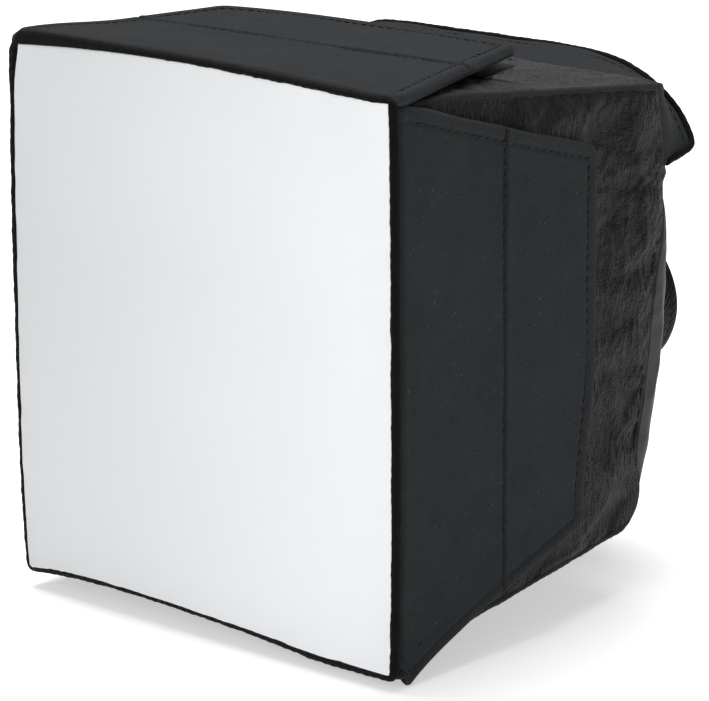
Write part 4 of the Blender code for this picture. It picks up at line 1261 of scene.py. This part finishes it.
def buildHems():
    for side, sign in (("right", 1), ("left", -1)):
        part, up = np.meshgrid(np.linspace(-1, 1, 30), np.linspace(0, 1, 120) * rimAt(hood["hemTop"]))
        x, y, z = rearPoint(up)
        radius, turn = hemRadius(z), np.clip(part, 0, 1) * np.pi / 2
        panelEnd = rearPoint(up, hood["trim"])[1]
        x = x - radius * (1 - np.cos(turn) ** 0.6)                         # a squarer turn than a round one
        y = y - radius * (1 - np.sin(turn) ** 0.6) + 1.25 * radius * np.minimum(part, 0)
        x = x - hood["cloth"] * smooth((panelEnd - y + 0.6 * mm) / (1.2 * mm)) * (1 - smooth(part / 0.5))
        points = np.stack([sign * x, y + frontY, z], -1)
        relief = cloudNoise(z / (6 * mm), turn * 2, 91) * 0.18 * mm - 0.3 * mm
        relief = relief + creases(z / (11 * mm), turn, 92) * 0.25 * mm
        name, facing = f"{side}RearHem", (sign, 1, 0)
        piece = clothShell(name, points, relief, rear["hemCloth"], cloth["satin"], facing=facing)
        keep(piece, "hood", "satin_cloth", f"rear_hem_{side}")


def gathers(along, across, edgeLength, seed):       # folds from the rim into the neck, deeper near the neck
    folds = creases(across * edgeLength / (9 * mm), along * 1.2, seed, 1.8) * smooth((along - 0.15) / 0.8)
    return folds * 0.9 * mm + cloudNoise(across * edgeLength / (16 * mm), along * 2.5, seed + 1) * 0.5 * mm


def roundedEnd(turn, half, otherHalf):              # on one side of the neck's rounded outline, turn -1 to 1
    radius = rear["neckRadius"] + rear["collar"]
    run = turn * (half - radius * (1 - math.sqrt(0.5)))
    past = np.maximum(np.abs(run) - (half - radius), 0)
    return run, otherHalf - radius + np.sqrt(radius ** 2 - past ** 2)


def rearPanel(side, start, end, along, across, edgeLength, seed, facing):
    points = mix(start, end, along[..., None])
    points[..., 1] += frontY
    relief = gathers(along, across, edgeLength, seed) * smooth(along / 0.1) - 0.5 * mm
    piece = clothShell(f"{side}RearPanel", points, relief, rear["cloth"], cloth["satin"], facing=facing)
    keep(piece, "hood", "satin_cloth", f"rear_panel_{side}")


def buildRearPanels():
    collarX, collarZ = rear["neckHalfX"] + rear["collar"], rear["neckHalfZ"] + rear["collar"]
    along, up = np.meshgrid(np.linspace(0, 1, 44), np.linspace(0, 1, 120))
    x, y, z = rearPoint(up)
    top = smooth((up - rimAt(hood["hemTop"])) / 0.03)
    x = x - mix(hemRadius(z), rear["awningCloth"], top) + 0.5 * mm           # tucked under hem and awning
    endZ, endX = roundedEnd(2 * up - 1, collarZ, collarX)
    endY = np.full_like(up, rear["neckStart"])
    for side, sign in (("right", 1), ("left", -1)):
        start, end = np.stack([sign * x, y, z], -1), np.stack([sign * endX, endY, rear["neckZ"] + endZ], -1)
        rearPanel(side, start, end, along, up, 0.1, 95, (0.2 * sign, 1, 0))
    across, along = np.meshgrid(np.linspace(-1, 1, 130), np.linspace(0, 1, 44))
    endX, endZ = roundedEnd(across, collarX, collarZ)
    endY = np.full_like(across, rear["neckStart"])
    lowY, lowZ = bottomLine(np.array(1.0))
    topZ = hood["rearTop"] + hood["arch"] * (1 - across ** 2) - 1.9 * mm
    bottomZ = np.full_like(across, float(lowZ) + 0.4 * mm)
    spans = {
        "top": (hood["rearHalf"] - 2.5 * mm, hood["seam"], topZ, 1),
        "bottom": (hood["rearHalf"] - 1.8 * mm, float(lowY), bottomZ, -1),
    }
    for side, (half, startY, startZ, sign) in spans.items():
        start = np.stack([across * half, np.full_like(across, startY), startZ], -1)
        end = np.stack([endX, endY, rear["neckZ"] + sign * endZ], -1)
        rearPanel(side, start, end, along, across, 0.07, 97 + sign, (0, 1, 0))


buildHems()
buildRearPanels()
print("rear ready")


# Awning over the rear opening

awning = {
    "low": 130 * mm, "rearTop": 158.0 * mm, "rearHalf": 71.9 * mm, "rearY": 150 * mm,
    "droop": 24.4 * mm, "leftPower": 14.0, "rightPower": 4.3,               # how late each end turns down
    "sideShare": 0.25, "cornerShare": 0.84, "curlShare": 0.16, "curl": 2.4 * mm, "gap": 0.5 * mm,
    "lip": 1.25 * mm, "lipRounds": 7, "flat": (0.195, 0.026), "stitchRow": 31, "rows": 40, "columns": 190,
}


def awningRim(turn):
    size, sign = np.abs(turn), np.sign(turn)
    topShare = 1 - awning["sideShare"]
    across = np.clip(turn / topShare, -1, 1)
    down = np.clip((size - topShare) / awning["sideShare"], 0, 1)
    z = mix(hood["rearTop"], awning["low"], down)
    y = np.where(down > 0, rearPoint(np.minimum(rimAt(z), 1))[1], hood["seam"])
    arch = np.where(down > 0, 0, hood["arch"] * (1 - across ** 2))
    x = np.where(down > 0, sign * hood["rearHalf"], across * hood["rearHalf"])
    return np.stack([x, y + awning["gap"], z + arch], -1)


def awningEdge(turn, y):
    size = np.abs(turn)
    topShare = 1 - awning["sideShare"]
    inner = awning["cornerShare"] * size / topShare
    outer = mix(awning["cornerShare"], 1, (size - topShare) / awning["sideShare"])
    across = np.sign(turn) * np.where(size <= topShare, inner, outer)
    power = np.where(across < 0, awning["leftPower"], awning["rightPower"])
    drop = awning["droop"] * np.abs(across) ** power
    end = smooth((np.abs(across) - 1 + awning["curlShare"]) / awning["curlShare"])
    curl = awning["curl"] * end ** 3                # the hanging ends curl forwards
    return np.stack([across * awning["rearHalf"], y - curl, awning["rearTop"] - drop], -1)


def buildAwning():
    turn, out = np.meshgrid(np.linspace(-1, 1, awning["columns"]), np.linspace(0, 1, awning["rows"]))
    lipY = awning["rearY"] - awning["lip"]
    rim, edge = awningRim(turn), awningEdge(turn, lipY - 0.6 * mm)
    points = mix(rim, edge, smooth(out)[..., None])
    points[..., 1] = mix(rim[..., 1], edge[..., 1], out)
    points[..., 1] += frontY
    folds = creases(turn * 9, out * 1.3, 101, 1.8) * 0.5 * mm * np.sin(np.pi * np.clip(out, 0, 1))
    relief = folds + cloudNoise(turn * 6, out * 2, 103) * 0.4 * mm * out - 0.3 * mm
    facing = (0, 0, 1)
    piece = clothShell("rearAwning", points, relief, rear["awningCloth"], cloth["laminate"], facing=facing)
    keep(piece, "hood", "wing_cloth", "rear_awning")
    turns = np.linspace(-1, 1, 160)
    arch = awningEdge(turns, lipY)
    arch[:, 2] -= rear["awningCloth"] / 2
    arch[:, 1] += frontY
    seamEnd = awningRim(np.array([-1.0]))[0] + np.array([0.8 * mm, 1.2 * mm + frontY, -0.2 * mm])
    leftEnd = [mix(seamEnd, arch[0], share) for share in np.linspace(0, 0.92, 12)]
    rightEnd = [point * np.array((-1, 1, 1)) for point in reversed(leftEnd)]
    rounded = np.array(leftEnd + list(arch) + rightEnd)
    for _ in range(awning["lipRounds"]):            # rounds off the corners where the line turns back
        rounded[1:-1] = (rounded[:-2] + 2 * rounded[1:-1] + rounded[2:]) / 4
    lip = ropeAlong("awningLip", rounded, awning["lip"], cloth["tape"], 105)
    keep(lip, "hood", "binding_tape", "awning_lip")
    line = points[awning["stitchRow"]] + np.array((0, 0, -0.25 * mm))
    sew("awningStitches", [line[4:-4]], "hood", "wing_cloth", 107)


buildAwning()
print("awning ready")


# Neck sleeve, strap and tab

def roundedLoop(halfX, halfZ, radius, count):       # even points round a rounded rectangle, from the left
    turn = np.linspace(np.pi, -np.pi, 721)
    square = np.maximum(np.abs(np.cos(turn)), np.abs(np.sin(turn)))
    x, z = np.cos(turn) / square * halfX, np.sin(turn) / square * halfZ
    inX, inZ = np.abs(x) - (halfX - radius), np.abs(z) - (halfZ - radius)
    pull = cornerPull(inX, inZ)
    x, z = np.sign(x) * (halfX - radius + inX * pull), np.sign(z) * (halfZ - radius + inZ * pull)
    run = np.concatenate([[0], np.cumsum(np.hypot(np.diff(x), np.diff(z)))])
    spots = np.linspace(0, run[-1], count, endpoint=False)
    return np.interp(spots, run, x), np.interp(spots, run, z), run[-1]


def ringPoints(grow, radius, startY, rows, bow=0.0):    # a tube round the neck, grow outside its inner face
    count = rear["around"]
    x, z, length = roundedLoop(rear["neckHalfX"] + grow, rear["neckHalfZ"] + grow, radius, count)
    rise = np.maximum(0, 1 - ((z - rear["bowAt"]) / rear["bowHalf"]) ** 2) ** 0.9
    x = x + np.where(x > 0, bow * rise, 0)
    run, depth = np.meshgrid(np.linspace(0, length, count, endpoint=False), np.linspace(0, 1, rows))
    y = mix(startY, rear["neckEnd"], depth) + frontY
    return np.stack([0 * y + x, y, rear["neckZ"] + z + 0 * y], -1), run, depth


def buildNeck():
    centre = (0, frontY + rear["neckEnd"], rear["neckZ"])
    start, radius = rear["neckStart"] - rear["collarOverlap"], rear["neckRadius"] + rear["collar"]
    points, run, depth = ringPoints(rear["collar"], radius, start, 44)
    relief = creases(run / (8 * mm), depth * 1.6, 111) * 0.30 * mm * (1 - depth)
    relief = relief + 0.35 * mm * smooth((depth - 0.9) / 0.04) - 0.35 * mm
    wall = rear["collar"] - 0.1 * mm
    collar = clothShell("neckCollar", points, relief, wall, cloth["satin"], awayFrom=centre)
    keep(collar, "hood", "satin_cloth", "neck_collar")
    around, start = rear["gap"] + rear["strap"], rear["neckEnd"] - rear["strapWidth"]
    grow, radius = rear["collar"] + around, rear["neckRadius"] + around
    points, run, width = ringPoints(grow, radius, start, rear["strapRows"], rear["bow"])
    relief = cloudNoise(run / (14 * mm), width * 2, 113) * 0.18 * mm - 0.18 * mm
    relief = relief - 0.25 * mm * sum(bump(width - share, 0.02) for share in rear["strapSeams"])
    strap = clothShell("neckStrap", points, relief, rear["strap"], cloth["webbing"], awayFrom=centre)
    keep(strap, "hood", "strap_webbing", "neck_strap")
    rows = [points[round(share * (rear["strapRows"] - 1))] for share in rear["strapSeams"]]
    lines = [np.concatenate([row, row[:1]]) for row in rows]
    sew("neckStrapStitches", lines, "hood", "strap_webbing", 115, **rear["strapStitches"])


tab = {
    "corner": 5 * mm, "seam": 2.2 * mm, "padFace": 0.4 * mm, "padCloth": 0.45 * mm, "padInset": 0.6 * mm,
    "hooks": 0.5 * mm, "stitches": {"pitch": 2.6 * mm, "length": 1.8 * mm, "thread": 0.36 * mm},
}


def buildTab():
    low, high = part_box("neck_strap_tab")
    across, down = np.meshgrid(np.linspace(0, 1, 40), np.linspace(0, 1, 60))
    y, z = mix(low.y, high.y, across), mix(high.z, low.z, down)
    middle, half = (low.y + high.y) / 2, (high.y - low.y) / 2
    fromSide, fromEnd = half - np.abs(y - middle), z - low.z
    inY, inZ = tab["corner"] - fromSide, tab["corner"] - fromEnd
    pull = cornerPull(inY, inZ)
    y = middle + np.sign(y - middle) * (half - tab["corner"] + inY * pull)
    z = low.z + tab["corner"] - inZ * pull
    points = np.stack([np.full_like(y, low.x), y, z], -1)
    edge = np.minimum(np.minimum(fromSide, fromEnd), high.z - z)
    relief = -0.22 * mm * bump(edge - tab["seam"], 0.6 * mm)
    relief = relief + cloudNoise(y / (9 * mm), z / (9 * mm), 121) * 0.15 * mm
    strip = clothShell("strapTab", points, relief, high.x - low.x, cloth["webbing"], facing=(-1, 0, 0))
    keep(strip, "strap_tab", "strap_webbing", "neck_strap_tab")
    x, inset = low.x + 0.1 * mm, tab["seam"]
    left, right, top, bottom = low.y + inset, high.y - inset, high.z - inset, low.z + inset
    cutOff = 2 * inset
    corners = [(left, top), (left, bottom + cutOff), (left + cutOff, bottom), (right - cutOff, bottom),
               (right, bottom + cutOff), (right, top), (left, top)]
    line = []
    for (startY, startZ), (endY, endZ) in zip(corners, corners[1:]):
        shares = np.linspace(0, 1, 12)[:-1]
        line += [(x, mix(startY, endY, share), mix(startZ, endZ, share)) for share in shares]
    sew("strapTabStitches", [line], "strap_tab", "strap_webbing", 123, **tab["stitches"])
    low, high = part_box("neck_strap_tab_hook")
    across, down = np.meshgrid(np.linspace(0, 1, 24), np.linspace(0, 1, 26))
    face = np.full_like(across, low.x + tab["padFace"])
    points = np.stack([face, mix(low.y, high.y, across), mix(high.z, low.z, down)], -1)
    pad = clothShell("strapTabHookPad", points, 0.0, tab["padCloth"], cloth["hook"], facing=(1, 0, 0))
    keep(pad, "strap_tab", "hook_tape", "neck_strap_tab_hook")
    inset, x = tab["padInset"], low.x + tab["padFace"]
    ys, zs = (low.y + inset, high.y - inset), (low.z + inset, high.z - inset)
    corners = np.array([[(x, y, z) for y in ys] for z in zs])
    growHooks("strapTabHooks", gridMesh("strapTabHooks", corners, (1, 0, 0)), "strap_tab", tab["hooks"], 9)


buildNeck()
buildTab()
print("neck ready")

bpy.data.objects["floor"].location.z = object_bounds()[0].z - 0.1 * mm
